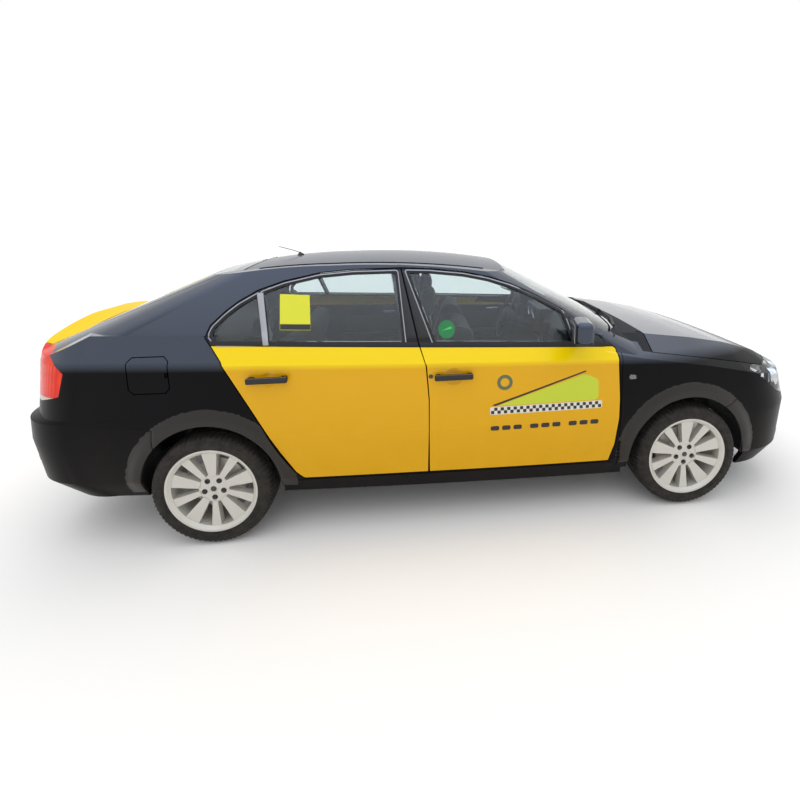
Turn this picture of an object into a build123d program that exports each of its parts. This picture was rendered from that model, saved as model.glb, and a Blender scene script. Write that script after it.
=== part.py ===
"""A four-door liftback saloon used as a taxi cab, built as separate pieces on real joints.

Frame: millimetres, +X to the front of the car, +Y to its left, +Z up. The origin is on the ground under
the middle of the car's overall length and width. The body's outer form is a stack of plan outlines
(rings), each of eight arcs, joined by ruled faces. Panels are cut from that form, so they stay flush.
"""
from build123d import *
import math
import os

# ---------------------------------------------------------------- driving dimensions
LENGTH = 4482
WIDTH = 1706
HEIGHT = 1461
WHEELBASE = 2602
FRONT_OVERHANG = 861
TRACK_FRONT = 1457
TRACK_REAR = 1494
TYRE_D = 604
TYRE_W = 215
RIM_D = 458
RIM_SEAT_D = 432
RIM_W = 196

SHUT_GAP = 6.6          # gap between a moving panel and its neighbour
DOOR_T = 105            # whole door, skin to trim, below the belt
FRAME_T = 46            # window frames, pillars and cant rail
ROOF_T = 36
GLASS_T = 5
GLASS_SET = 3           # glass in from the skin
LID_T = 32              # bonnet and tailgate panels
FLOOR_Z = 285           # top of the cabin floor
BOOT_FLOOR_Z = 440
REAR_FLOOR_X = -560     # the floor steps up here, under the rear bench
BOOT_END_X = -2170
FIREWALL_X = 1075       # cabin side of the firewall
ARCH_R = 352
ARCH_Z = 312
FRONT_WELL_R = 388      # inside the arch, for the steered wheel
FRONT_WELL_IN = 440
FRONT_WELL_OUT = 790
REAR_WELL_IN = 600
HOUSE_T = 22            # wheel housing wall

X_FRONT = LENGTH / 2
X_REAR = -LENGTH / 2
AXLE_F = X_FRONT - FRONT_OVERHANG
AXLE_R = AXLE_F - WHEELBASE
HALF_W = WIDTH / 2
HUB_Z = TYRE_D / 2

# Wheels, hubs and steering.
FACE_Y = 72             # outer face of the spokes, out from the wheel's middle
HUB_R, HUB_DEPTH = 76, 62
SPOKE_T, SPOKE_RISE = 34, 10
WIDE_SPOKE, NARROW_SPOKE = (18, 38), (13, 24)
BOLT_PCD = 100
DISC_R = 140
STUB_R, STUB_L = 28, 40
AXLE_CLEAR = 6
FLANGE_T = 14
BALL_Y, BALL_Z, KINGPIN_LEAN = 656, 205, 14
STRUT_TOP_Z, SHAFT_R = 712, 11
SHAFT_END = 560
RAIL_Y = 350
BEAM_X = 2085
RADIATOR_X = 1960
GRILLE_BARS, INTAKE_BARS = 24, 4
# Cabin.
SEAT_Y = 355
DASH_Y = 690
WHEEL_X, WHEEL_Y, WHEEL_Z, WHEEL_R = 575, SEAT_Y, 905, 185
COLUMN_LEAN = 24
STEER_WHEEL_TURN = 0
WIPER_UP, WIPER_R = 17, 7
# Wiper arms: pivot, middle and tip in plan.
WIPERS = [((1128, 430), (1112, 130), (1098, -180)), ((1118, -150), (1080, -410), (985, -660))]

# Sideways reach of the cuts through a side, and the far point that their edges run to.
SIDE_OUT, SIDE_IN, APEX_Y = 930, 330, -1780

# Rings of the lower body. Columns: height at x = 0, fall per mm of x, then how far the ring stands in
# from the widest outline at the side, the nose and the tail.
LOWER_RINGS = {
    "underside": (222, 0.0215, 62, 80, 150),
    "sill": (330, 0.0215, 16, 12, 25),
    "widest": (570, 0.010, 0, 0, 0),
    "bumper_top": (690, 0.004, 2, 35, 6),
    "ledge": (706, 0.004, 2, 38, 52),
    "crease": (933, 0.0313, 7, 115, 98),
    "shoulder": (1060, 0.035, 80, 165, 112),
}
NOSE_SAG, NOSE_Y = 50, 460
CORNER_F_X, CORNER_F_Y = 1789, 803
TAIL_SAG, TAIL_Y = 34, 540
CORNER_R_X, CORNER_R_Y = -1880, 818

# Rings of the glasshouse. Columns: height at x = 0, fall per mm of x, half width, windscreen middle x,
# its sagitta and half chord, front corner x and y, rear glass middle x, its sagitta and half chord,
# rear corner x and y.
GLASS_RINGS = {
    "base": (934, 0.0313, 845, 1352, 88, 610, 1080, 812, -2262, 70, 560, -1830, 800),
    "top": (1480, 0, 547, 225, 55, 400, 70, 536, -1110, 45, 360, -900, 520),
}
# Middle line of the roof: x, z of start, crest and end, with a point between on each arc.
ROOF_LINE = [(420, 1383), (-80, 1447), (-600, HEIGHT), (-980, 1444), (-1345, 1392)]
ROOF_CROWN_R, ROOF_SWEEP = 5000, 15     # radius across the car, and degrees to each side
# Middle line of the boot deck, from the glass to the lip.
DECK_LINE = [(-1700, 1240), (-1975, 1126), (-2050, 1110), (-2125, 1138), (-2160, 1134), (-2300, 1090)]
DECK_TOP_Z, DECK_CROWN_R, DECK_SWEEP = 1140, 2900, 26

# Cross sections of the bonnet and wing tops. Columns: x, z at the middle, y and z of the bonnet's crease,
# y and z of its shut line, z at y = 900.
BONNET_SECTIONS = [
    (880, 1022, 645, 1012, 775, 962, 885),
    (1150, 1002, 628, 992, 768, 918, 850),
    (1480, 955, 602, 946, 748, 864, 792),
    (1730, 905, 575, 897, 722, 818, 740),
    (1950, 838, 545, 829, 690, 764, 680),
    (2120, 752, 505, 742, 640, 700, 615),
    (2300, 610, 450, 600, 560, 570, 500),
]
SECTION_Y = 900

# Outlines in side view, as x, z.
FRONT_DOOR = [
    (916, 303), (947, 407), (962, 570), (963, 675), (952, 873), (950, 958),
    (818, 1062), (679, 1170), (527, 1253), (390, 1311), (268, 1350), (125, 1379), (-60, 1400), (-222, 1407),
    (-137, 1034), (-100, 921), (-90, 737), (-102, 322),
]
REAR_DOOR = [
    (-102, 322), (-90, 737), (-100, 921), (-137, 1034), (-222, 1407), (-480, 1405), (-663, 1392),
    (-845, 1356), (-976, 1314), (-1071, 1261), (-1132, 1214), (-1196, 1150), (-1210, 1100),
    (-1168, 1048), (-1117, 983), (-982, 714), (-869, 492), (-798, 371), (-755, 328),
]
FRONT_GLASS = [
    (-52, 1032), (-184, 1384), (-60, 1378), (122, 1357), (260, 1328), (380, 1290), (515, 1232), (664, 1150),
    (700, 997),
]
REAR_GLASS = [
    (-213, 1037), (-249, 1384), (-480, 1383), (-660, 1370), (-838, 1334), (-950, 1296), (-893, 1062),
]
QUARTER_GLASS = [(-918, 1064), (-975, 1286), (-1060, 1239), (-1118, 1194), (-1174, 1138), (-1184, 1108),
                 (-1147, 1070)]
FRONT_DOOR_CENTRE = (400, 800)
REAR_DOOR_CENTRE = (-620, 850)
DOOR_AXIS_IN = 15       # door hinge axis in from the widest skin
DOOR_HANDLES = {"front": (41, 863), "rear": (-892, 893)}
HANDLE_L, HANDLE_OUT, HANDLE_Y = 190, 14, 862
POCKET_R, POCKET_Y = 80, 912    # ball that presses the finger pocket, and its middle
HINGE_HEIGHTS = (520, 780)
HINGE_PIN_R, HINGE_PIN_END, HINGE_NOTCH = 4, 16, 56
HINGE_REACH, HINGE_FOOT = 112, 130
NOTCH_PAST_PIN = 2
PIN_CLEAR, PIN_ROOM = 0.3, 2.5
SLIVER = 4000           # leftovers of a cut under this volume, in cubic mm, are dropped
ROOF_SPLIT_Y = 512
FLOOR_SPLIT_Y = 700
TAILGATE_TOP_X = -1090
TAILGATE_BASE_Z = 722
TOP_GAP = 12            # roof to tailgate
COWL_X = 1110           # front face of the firewall
WING_X = 969
WING_PILLAR_Y = 797
SCREEN_BASE_Z = 940
SCUTTLE_X, SCUTTLE_Y, SCUTTLE_Z = 1215, 768, 880
PILLAR_IN, PILLAR_T = 13, 50
FLAP_T, FLAP_GAP = 8, 5
HEAD_LAMP_IN, TAIL_LAMP_IN = 430, 594
GRILLE_Y, GRILLE_Z = 400, (600, 705)
INTAKE_Y, INTAKE_Z = 520, (240, 400)
# Flat seats of the number plates: x, half width, bottom and top.
FRONT_PLATE = (2220, 262, 420, 535)
REAR_PLATE = (-2148, 262, 800, 915)
# Jacking pads under the floor: x and height of the foot.
JACK_PADS, JACK_PAD_Y = [(700, 197), (-640, 225)], (630, 690)
# Hinge pins of the lids: x, z, then y of the strap's two faces.
BONNET_HINGE = (1160, 978, 596, 608)
TAILGATE_HINGE = (-1092, 1429, 94, 106)
FLAP_HINGE = (-1377, 826, 929)
LID_PIN_R = 2.5
# More outlines in side view, as x, z.
B_FOOT_X = (-170, -60)
SILL_RELIEF = (-170, -95, 775, 818, 324, 334)    # where the rear door's lower corner swings in
PILLAR_RELIEF = (-176, -130, 780, 830, 926, 956)    # where its edge swings past the pillar's crease
B_PILLAR = [
    (-50, 250), (-50, 900), (-90, 1034), (-160, 1470), (-285, 1470), (-205, 1034), (-190, 900), (-190, 250),
]
HEAD_LAMP = [(1765, 787), (1900, 800), (2020, 790), (2110, 760), (2300, 700), (2300, 610), (2085, 588),
             (1990, 625), (1880, 705)]
TAIL_LAMP = [(-1861, 953), (-1968, 1060), (-2400, 1060), (-2400, 800), (-2029, 803), (-1900, 837)]
REAR_BUMPER = [
    (-1480, 60), (-1480, 643), (-1716, 666), (-1895, 694), (-2100, 716), (-2400, 716), (-2400, 60),
]
FRONT_BUMPER = [(1600, 60), (1600, 588), (1703, 640), (1722, 700), (1765, 787), (2400, 900), (2400, 60)]
FUEL_FLAP = [(-1561, 862), (-1540, 841), (-1392, 841), (-1371, 862), (-1371, 996), (-1392, 1017),
             (-1540, 1017), (-1561, 996)]
# Left halves of outlines in plan, as x, y.
HEAD_LAMP_PLAN = [(1700, 640), (2000, 425), (2300, 425), (2300, 930), (1700, 930)]
BONNET_PLAN = [(1205, 250), (1188, 610), (1168, 766), (1480, 748), (1730, 722), (1900, 690), (1985, 610),
               (2080, 440), (2125, 200)]
TAILGATE_PLAN = [(-2400, 588), (-2000, 588), (-1500, 560), (-1090, 500)]
WINDSCREEN_PLAN = [(392, 430), (345, 505), (905, 712), (945, 690), (1025, 577), (1085, 400)]
REAR_GLASS_PLAN = [(-1872, 540), (-1500, 505), (-1165, 455)]
# Rooms cut up into the underside, as x, y and z ranges: exhaust tunnel, rear axle, silencer.
UNDER_ROOMS = [
    (-701, 1120, -110, 110, 0, 258),
    (-1560, -700, -601, 601, 0, 398),
    (-2050, -1559, -560, 560, 0, 345),
]
DOOR_AXIS_BACK = 60     # and back from the door's leading edge


def mirrored(shape):
    return shape.mirror(Plane.XZ)


def solid_of(shape):
    """The one body of a shape, as a plain solid or compound of solids."""
    solids = shape.solids()
    return solids[0] if len(solids) == 1 else Compound(children=list(solids))


# ---------------------------------------------------------------- outer form
def tangent_mid(start, end, tangent):
    """Middle point of the arc that leaves start along tangent and ends at end, in the plane."""
    sx, sy = start
    cx, cy = end[0] - sx, end[1] - sy
    chord = math.hypot(cx, cy)
    tx, ty = tangent
    turn = math.atan2(tx * cy - ty * cx, tx * cx + ty * cy)     # tangent to chord
    rise = chord / 2 * math.tan(turn / 2)
    nx, ny = cy / chord, -cx / chord
    return sx + cx / 2 + nx * rise, sy + cy / 2 + ny * rise


def ring(z0, fall, half, nose, nose_sag, nose_y, fx, fy, tail, tail_sag, tail_y, rx, ry):
    """A closed plan outline of eight arcs, on a plane that falls to the front."""
    nose_end, tail_end = (nose - nose_sag, nose_y), (tail + tail_sag, tail_y)
    lean_f = 2 * nose_sag / nose_y
    lean_r = 2 * tail_sag / tail_y
    mid_f = tangent_mid(nose_end, (fx, fy), (-lean_f, 1))
    mid_r = tangent_mid(tail_end, (rx, ry), (lean_r, 1))
    lift = lambda p, side=1: Vector(p[0], side * p[1], z0 - fall * p[0])
    arcs = [ThreePointArc(lift(nose_end, -1), lift((nose, 0)), lift(nose_end))]
    side = ((fx, fy), ((fx + rx) / 2, half), (rx, ry))
    left = [(nose_end, mid_f, (fx, fy)), side, ((rx, ry), mid_r, tail_end)]
    arcs += [ThreePointArc(*(lift(p) for p in run)) for run in left]
    arcs += [ThreePointArc(lift(tail_end), lift((tail, 0)), lift(tail_end, -1))]
    arcs += [ThreePointArc(*(lift(p, -1) for p in reversed(run))) for run in reversed(left)]
    return Wire(arcs)


def lower_ring(row, inset=0):
    z0, fall, side, front, rear = row
    side, front, rear = side + inset, front + inset, rear + inset
    return ring(
        z0, fall, HALF_W - side, X_FRONT - front, NOSE_SAG, NOSE_Y - side / 2,
        CORNER_F_X - front, CORNER_F_Y - side, X_REAR + rear, TAIL_SAG, TAIL_Y - side / 2,
        CORNER_R_X + rear, CORNER_R_Y - side,
    )


def glass_ring(row, inset=0):
    z0, fall, half, nose, nsag, ny, fx, fy, tail, tsag, ty, rx, ry = row
    run = 2 * inset
    return ring(z0, fall, half - inset, nose - run, nsag, ny - inset / 2, fx - run, fy - inset,
                tail + run, tsag, ty - inset / 2, rx + run, ry - inset)


def arc_profile(points, extra):
    """Face in XZ under a line of two arcs, closed by the extra points."""
    a = ThreePointArc(*(Vector(x, 0, z) for x, z in points[:3]))
    b = ThreePointArc(*(Vector(x, 0, z) for x, z in points[2:]))
    closing = [points[-1], *extra, points[0]]
    lines = [Line(Vector(p[0], 0, p[1]), Vector(q[0], 0, q[1])) for p, q in zip(closing, closing[1:])]
    return Face(Wire([a, b, *lines]))


def crowned(face, axis_z, half_deg):
    """Sweeps a side-view face round a long axis below the car, which crowns its top across the car."""
    axis = Axis((0, 0, axis_z), (1, 0, 0))
    start = face.rotate(axis, -half_deg)
    return Solid.revolve(start, 2 * half_deg, axis)


def roof_form(inset=0):
    line = [(x, z - inset) for x, z in ROOF_LINE]
    extra = [(-2400, line[-1][1] - 60), (-2400, 500), (1500, 500), (1500, 1290)]
    return crowned(arc_profile(line, extra), HEIGHT - ROOF_CROWN_R, ROOF_SWEEP)


def deck_form(inset=0):
    points = [(2400, 1240), *DECK_LINE, (-2400, 100), (2400, 100)]
    face = Face(Wire.make_polygon([Vector(x, 0, z - (inset if z > 200 else 0)) for x, z in points]))
    return crowned(face, DECK_TOP_Z - DECK_CROWN_R, DECK_SWEEP)


def bonnet_form(inset=0):
    """Everything under the bonnet and wing tops, and all that is behind the cowl."""
    wires = []
    for x, z_mid, y_crease, z_crease, y_shut, z_shut, z_out in BONNET_SECTIONS:
        top = [(SECTION_Y, z_out), (y_shut, z_shut), (y_crease, z_crease)]
        left = [Vector(x, y, z - inset) for y, z in top]
        right = [Vector(x, -y, z - inset) for y, z in reversed(top)]
        low_l, low_r = Vector(x, SECTION_Y, 60), Vector(x, -SECTION_Y, 60)
        edges = [Line(low_l, left[0]), Line(left[0], left[1]), Line(left[1], left[2]),
                 ThreePointArc(left[2], Vector(x, 0, z_mid - inset), right[0]),
                 Line(right[0], right[1]), Line(right[1], right[2]), Line(right[2], low_r),
                  Line(low_r, low_l)]
        wires.append(Wire(edges))
    front = Solid.make_loft(wires, ruled=True)
    start_x = BONNET_SECTIONS[0][0]
    behind = Pos((start_x - 2400) / 2, 0, 800) * Box(start_x + 2400, 2 * SECTION_Y, 1500)
    return behind + front


def body_form(inset=0):
    """The whole outer form, or the same form drawn in by a wall's thickness."""
    lower = Solid.make_loft([lower_ring(r, inset) for r in LOWER_RINGS.values()], ruled=True)
    house = Solid.make_loft([glass_ring(r, inset) for r in GLASS_RINGS.values()], ruled=True)
    lower = lower & bonnet_form(inset) & deck_form(inset)
    row = LOWER_RINGS["shoulder"]
    plan = lower_ring((700, 0, row[2] - 60, row[3], row[4]), inset)
    house = house & roof_form(inset) & Solid.extrude(Face(plan), Vector(0, 0, 900))
    return lower + house


# ---------------------------------------------------------------- cutting tools
def skin_y(z):
    """Half width of the outer form at a height, near enough to place a cut on it."""
    base, top = GLASS_RINGS["base"], GLASS_RINGS["top"]
    lean = (base[2] - top[2]) / (top[0] - base[0])
    return HALF_W - 5 if z < base[0] else base[2] - (z - base[0]) * lean


def grown(points, d):
    """A polygon with each side moved out by d, or in where d is negative."""
    area = sum(a[0] * b[1] - b[0] * a[1] for a, b in zip(points, points[1:] + points[:1]))
    turn = 1 if area > 0 else -1
    sides = []
    for (ax, az), (bx, bz) in zip(points, points[1:] + points[:1]):
        run = math.hypot(bx - ax, bz - az)
        nx, nz = turn * (bz - az) / run, -turn * (bx - ax) / run
        sides.append((nx, nz, nx * ax + nz * az + d))
    out = []
    for (n1, m1, c1), (n2, m2, c2) in zip(sides[-1:] + sides[:-1], sides):
        det = n1 * m2 - n2 * m1
        out.append(((c1 * m2 - c2 * m1) / det, (n1 * c2 - n2 * c1) / det))
    return out


def block(lower, upper):
    """A closed solid between two polygons of as many corners, with flat sides."""
    count = len(lower)
    quads = [[lower[i], lower[(i + 1) % count], upper[(i + 1) % count], upper[i]] for i in range(count)]
    faces = [Face(Wire.make_polygon(q)) for q in [lower, upper, *quads]]
    solid = Solid(Shell(faces))
    return solid if solid.volume > 0 else block(lower[::-1], upper[::-1])


def side_cut(outline, centre, y_out=SIDE_OUT, y_in=SIDE_IN):
    """Block through the left side whose edges run in towards one far point, so that doors open freely."""
    def at(p, y):
        k = (y - APEX_Y) / (skin_y(p[1]) - APEX_Y)
        return Vector(centre[0] + (p[0] - centre[0]) * k, y, centre[1] + (p[1] - centre[1]) * k)
    return block([at(p, y_in) for p in outline], [at(p, y_out) for p in outline])


def across(outline, y0, y1):
    """Block of a side-view outline between two distances from the middle."""
    return block([Vector(x, y0, z) for x, z in outline], [Vector(x, y1, z) for x, z in outline])


def upright(outline, z0, z1):
    """Block of a plan outline between two heights."""
    return block([Vector(x, y, z0) for x, y in outline], [Vector(x, y, z1) for x, y in outline])


def span(x0, x1, y0, y1, z0, z1):
    return Pos((x0 + x1) / 2, (y0 + y1) / 2, (z0 + z1) / 2) * Box(abs(x1 - x0), abs(y1 - y0), abs(z1 - z0))


def rod(start, end, radius):
    """Round bar between two points."""
    a, b = Vector(*start), Vector(*end)
    base = (Align.CENTER, Align.CENTER, Align.MIN)
    return Plane(origin=a, z_dir=b - a) * Cylinder(radius, (b - a).length, align=base)


def across_rod(x, z, radius, y0, y1):
    return rod((x, y0, z), (x, y1, z), radius)


def cabin_form(extra=0):
    """The room inside the side walls and roof, drawn in further by extra."""
    lower = Solid.make_loft([lower_ring(r, DOOR_T + extra) for r in LOWER_RINGS.values()], ruled=True)
    house = Solid.make_loft([glass_ring(r, FRAME_T + extra) for r in GLASS_RINGS.values()], ruled=True)
    lower = lower & bonnet_form(FRAME_T) & deck_form(LID_T)
    return lower + (house & roof_form(ROOF_T))


# ---------------------------------------------------------------- body
def both(outline):
    """A plan outline given on the left half, closed over the middle."""
    return outline + [(x, -y) for x, y in reversed(outline)]


HALF = span(-3000, 3000, 0, SIDE_OUT, 0, 2000)


def half_form(inset=0):
    return body_form(inset) & HALF


# Left halves of the outer form, of the form under the lids, and of the space that glass fills.
OUT = half_form()
UNDER = half_form(LID_T)
SKIN = OUT - UNDER
PANE = half_form(GLASS_SET) - body_form(GLASS_SET + GLASS_T)
CABIN = cabin_form() & HALF


def wheel_well(axle_x, y_in, radius):
    return across_rod(axle_x, ARCH_Z, radius, y_in, SIDE_OUT)


FRONT_WELL = wheel_well(AXLE_F, FRONT_WELL_IN, FRONT_WELL_R) & span(0, 3000, 0, FRONT_WELL_OUT, 0, 2000)
FRONT_WELL = FRONT_WELL + wheel_well(AXLE_F, FRONT_WELL_IN, ARCH_R)
REAR_WELL = wheel_well(AXLE_R, REAR_WELL_IN, ARCH_R)
FRONT_HOUSE = wheel_well(AXLE_F, FRONT_WELL_IN - HOUSE_T, FRONT_WELL_R + HOUSE_T)
REAR_HOUSE = wheel_well(AXLE_R, REAR_WELL_IN - HOUSE_T, ARCH_R + HOUSE_T)

# Left half of the hollow of the cabin and the boot.
ROOM = CABIN & (
    span(REAR_FLOOR_X, FIREWALL_X, 0, SIDE_OUT, FLOOR_Z, 2000)
    + span(FIREWALL_X, FIREWALL_X + 55, 0, 740, 905, 2000)
    + span(BOOT_END_X, REAR_FLOOR_X, 0, SIDE_OUT, BOOT_FLOOR_Z, 2000)
)
ROOM = ROOM.cut(FRONT_HOUSE, REAR_HOUSE)

DOORS = {
    "front": (FRONT_DOOR, FRONT_DOOR_CENTRE, [FRONT_GLASS], DOOR_HANDLES["front"]),
    "rear": (REAR_DOOR, REAR_DOOR_CENTRE, [REAR_GLASS, QUARTER_GLASS], DOOR_HANDLES["rear"]),
}


def side_y(x):
    """Half width of the widest outline beside x, forward or behind the middle."""
    end_x, end_y = (CORNER_F_X, CORNER_F_Y) if x > 0 else (CORNER_R_X, CORNER_R_Y)
    return HALF_W - (HALF_W - end_y) * (x / end_x) ** 2


def hinge_y(kind):
    return side_y(hinge_x(kind)) - DOOR_AXIS_IN


def hinge_x(kind):
    """The door's hinge axis, just behind the foremost point of its edge."""
    return max(x for x, z in DOORS[kind][0] if z < 900) - SHUT_GAP / 2 - DOOR_AXIS_BACK


def hinge_pin(kind, z, radius=HINGE_PIN_R):
    x, y = hinge_x(kind), hinge_y(kind)
    half = HINGE_NOTCH / 2 + HINGE_PIN_END
    return rod((x, y, z - half), (x, y, z + half), radius)


def door_opening(kind):
    outline, centre = DOORS[kind][:2]
    return side_cut(grown(outline, SHUT_GAP / 2), centre)


def door(kind):
    """Left door leaf and its panes."""
    outline, centre, windows, (hx, hz) = DOORS[kind]
    leaf = (OUT & side_cut(grown(outline, -SHUT_GAP / 2), centre)) - CABIN
    panes = []
    for window in windows:
        hole = side_cut(window, centre)
        leaf = leaf - hole
        panes.append(PANE & hole)
    x, y = hinge_x(kind), hinge_y(kind)
    for z in HINGE_HEIGHTS:
        half = HINGE_NOTCH / 2
        notch = span(x - HINGE_PIN_R - 6, x + 200, y - 200, y + NOTCH_PAST_PIN, z - half, z + half)
        room = rod((x, y, z - half), (x, y, z + half), HINGE_PIN_R + PIN_ROOM)
        leaf = leaf.cut(notch, room, hinge_pin(kind, z, HINGE_PIN_R + PIN_CLEAR))
    leaf = leaf - Pos(hx, POCKET_Y, hz - 4) * Sphere(POCKET_R)
    end = HANDLE_L / 2
    leaf = leaf + span(hx - end, hx + end, HANDLE_Y, HANDLE_Y + HANDLE_OUT, hz - 15, hz + 15)
    for s in (-1, 1):
        mid = hx + s * (end - 14)
        leaf = leaf + span(mid - 12, mid + 12, HANDLE_Y - 30, HANDLE_Y + 4, hz - 12, hz + 12)
    return leaf, panes


def door_hinges(kind):
    """Pins and straps, each fixed to the pillar behind the door's leading edge."""
    x, y = hinge_x(kind), hinge_y(kind)
    out = []
    for z in HINGE_HEIGHTS:
        strap = span(x - HINGE_PIN_R, x + HINGE_PIN_R, y - HINGE_REACH, y, z - 18, z + 18)
        foot = span(x - HINGE_PIN_R, x + HINGE_FOOT, y - HINGE_REACH - 10, y - HINGE_REACH, z - 18, z + 18)
        hinge = hinge_pin(kind, z) + strap + foot
        if kind == "front":
            root, x0 = y - HINGE_REACH, x + DOOR_AXIS_BACK + 15
            hinge = hinge + span(x0, x + HINGE_FOOT, root - 10, root + 30, z - 18, z + 18)
        out.append(hinge)
    return out


# ---------------------------------------------------------------- panels
def lid(plan, z0, z1=1700, gap=SHUT_GAP):
    """Left half of a lid's outer panel over a plan outline."""
    return SKIN & upright(grown(both(plan), -gap / 2), z0, z1)


def opening(plan, z0, z1=1700, gap=SHUT_GAP):
    return upright(grown(both(plan), gap / 2), z0, z1)


def group(*shapes):
    """Solids that share a node without touching."""
    return Compound(children=[s for shape in shapes for s in shape.solids()])


def pair(shape):
    return group(shape, mirrored(shape))


def whole(half):
    """A piece that crosses the middle, from its left half."""
    return half + mirrored(half)


def body_parts():
    tail_lamp = across(TAIL_LAMP, TAIL_LAMP_IN, SIDE_OUT)
    head_lamp = across(HEAD_LAMP, HEAD_LAMP_IN, SIDE_OUT) & upright(HEAD_LAMP_PLAN, 400, 1000)
    rear_cut = across(REAR_BUMPER, 0, SIDE_OUT)
    front_cut = across(FRONT_BUMPER, 0, SIDE_OUT)
    windscreen_hole = upright(both(WINDSCREEN_PLAN), SCREEN_BASE_Z, 1700)
    rear_hole = upright(both(REAR_GLASS_PLAN), 1000, 1700)
    bonnet_hole = opening(BONNET_PLAN, 100)
    mouth = span(2000, 2400, 0, GRILLE_Y, *GRILLE_Z)
    intake = span(2000, 2400, 0, INTAKE_Y, *INTAKE_Z)
    wing_room = span(WING_X - SHUT_GAP / 2, COWL_X, WING_PILLAR_Y, SIDE_OUT, 100, 1030)

    parts = {
        "bonnet": whole(lid(BONNET_PLAN, 600)),
        "tailgate": whole(lid(TAILGATE_PLAN, TAILGATE_BASE_Z + SHUT_GAP) - rear_hole),
        "tailgate_glass": whole(PANE & rear_hole),
        "windscreen": whole(PANE & windscreen_hole),
        "tail_lamps": pair(SKIN & tail_lamp),
        "headlamps": pair((OUT & head_lamp) - bonnet_hole),
        "rear_bumper": whole((SKIN & rear_cut) - REAR_WELL),
        "front_bumper": whole((SKIN & front_cut).cut(bonnet_hole, mouth, intake, head_lamp, FRONT_WELL)),
    }
    scuttle = span(COWL_X, SCUTTLE_X, 0, SCUTTLE_Y, SCUTTLE_Z, 1100)
    blank = span(WING_X, COWL_X, WING_PILLAR_Y, SIDE_OUT, 100, 1030)
    blank = blank + span(COWL_X, X_FRONT, 500, SIDE_OUT, 100, 1030)
    blank = blank - span(COWL_X, SCUTTLE_X, 0, SCUTTLE_Y, 0, 1100)
    roof_z = STRUT_TOP_Z + 4
    strut_hole = rod((AXLE_F, kingpin_y(680), 680), (AXLE_F, kingpin_y(roof_z), roof_z), SHAFT_R + PIN_CLEAR)
    wing = (OUT & blank).cut(bonnet_hole, FRONT_WELL, front_cut, head_lamp, strut_hole)
    parts["wing_left"], parts["wing_right"] = wing, mirrored(wing)

    shell = OUT & span(X_REAR, COWL_X, 0, SIDE_OUT, 0, 2000)
    roof_gap = span(TAILGATE_TOP_X - 50, TAILGATE_TOP_X + TOP_GAP - SHUT_GAP / 2, 0, 497, 1300, 1500)
    shell = shell.cut(
        ROOM, FRONT_WELL, REAR_WELL, wing_room, windscreen_hole, roof_gap,
        SKIN & (tail_lamp + rear_cut), opening(TAILGATE_PLAN, TAILGATE_BASE_Z),
        *[door_opening(kind) for kind in DOORS], *[span(*box) for box in UNDER_ROOMS],
    )
    roof_cut = span(TAILGATE_TOP_X - 20, 460, 0, ROOF_SPLIT_Y, 1330, 1600)
    floor_cut = span(X_REAR, COWL_X, 0, FLOOR_SPLIT_Y, 0, BOOT_FLOOR_Z)
    scuttle_cut = span(960, COWL_X, 0, FLOOR_SPLIT_Y, BOOT_FLOOR_Z, 1100)
    parts["roof"] = whole(shell & roof_cut)
    parts["floor"] = whole(shell & floor_cut)
    parts["firewall"] = whole((shell & scuttle_cut) + (OUT & scuttle).cut(bonnet_hole, ROOM, windscreen_hole))
    side = shell.cut(roof_cut, floor_cut, scuttle_cut) + b_pillar()
    side = side.fuse(*[hinge for kind in DOORS for hinge in door_hinges(kind)])
    side = side - span(*SILL_RELIEF) - span(*PILLAR_RELIEF)
    flap_pocket = across(grown(FUEL_FLAP, FLAP_GAP), HALF_W - 85, SIDE_OUT)
    parts["body_side_left"], parts["body_side_right"] = side, mirrored(side - flap_pocket)
    parts["fuel_flap"] = mirrored((OUT & across(FUEL_FLAP, 700, SIDE_OUT)) - body_form(FLAP_T))
    add_plate_seats(parts)
    add_lid_hinges(parts)
    return parts


def add_plate_seats(parts):
    """Flat seats of the number plates and the jacking pads."""
    x, half, low, high = FRONT_PLATE
    parts["front_bumper"] = parts["front_bumper"] - span(x, x + 200, -half, half, low, high)
    x, half, low, high = REAR_PLATE
    parts["tailgate"] = parts["tailgate"] - span(x - 200, x, -half, half, low, high)
    y0, y1 = JACK_PAD_Y
    pads = [span(x - 40, x + 40, s * y0, s * y1, z, FLOOR_Z - 20) for x, z in JACK_PADS for s in (-1, 1)]
    parts["floor"] = parts["floor"].fuse(*pads)


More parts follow.
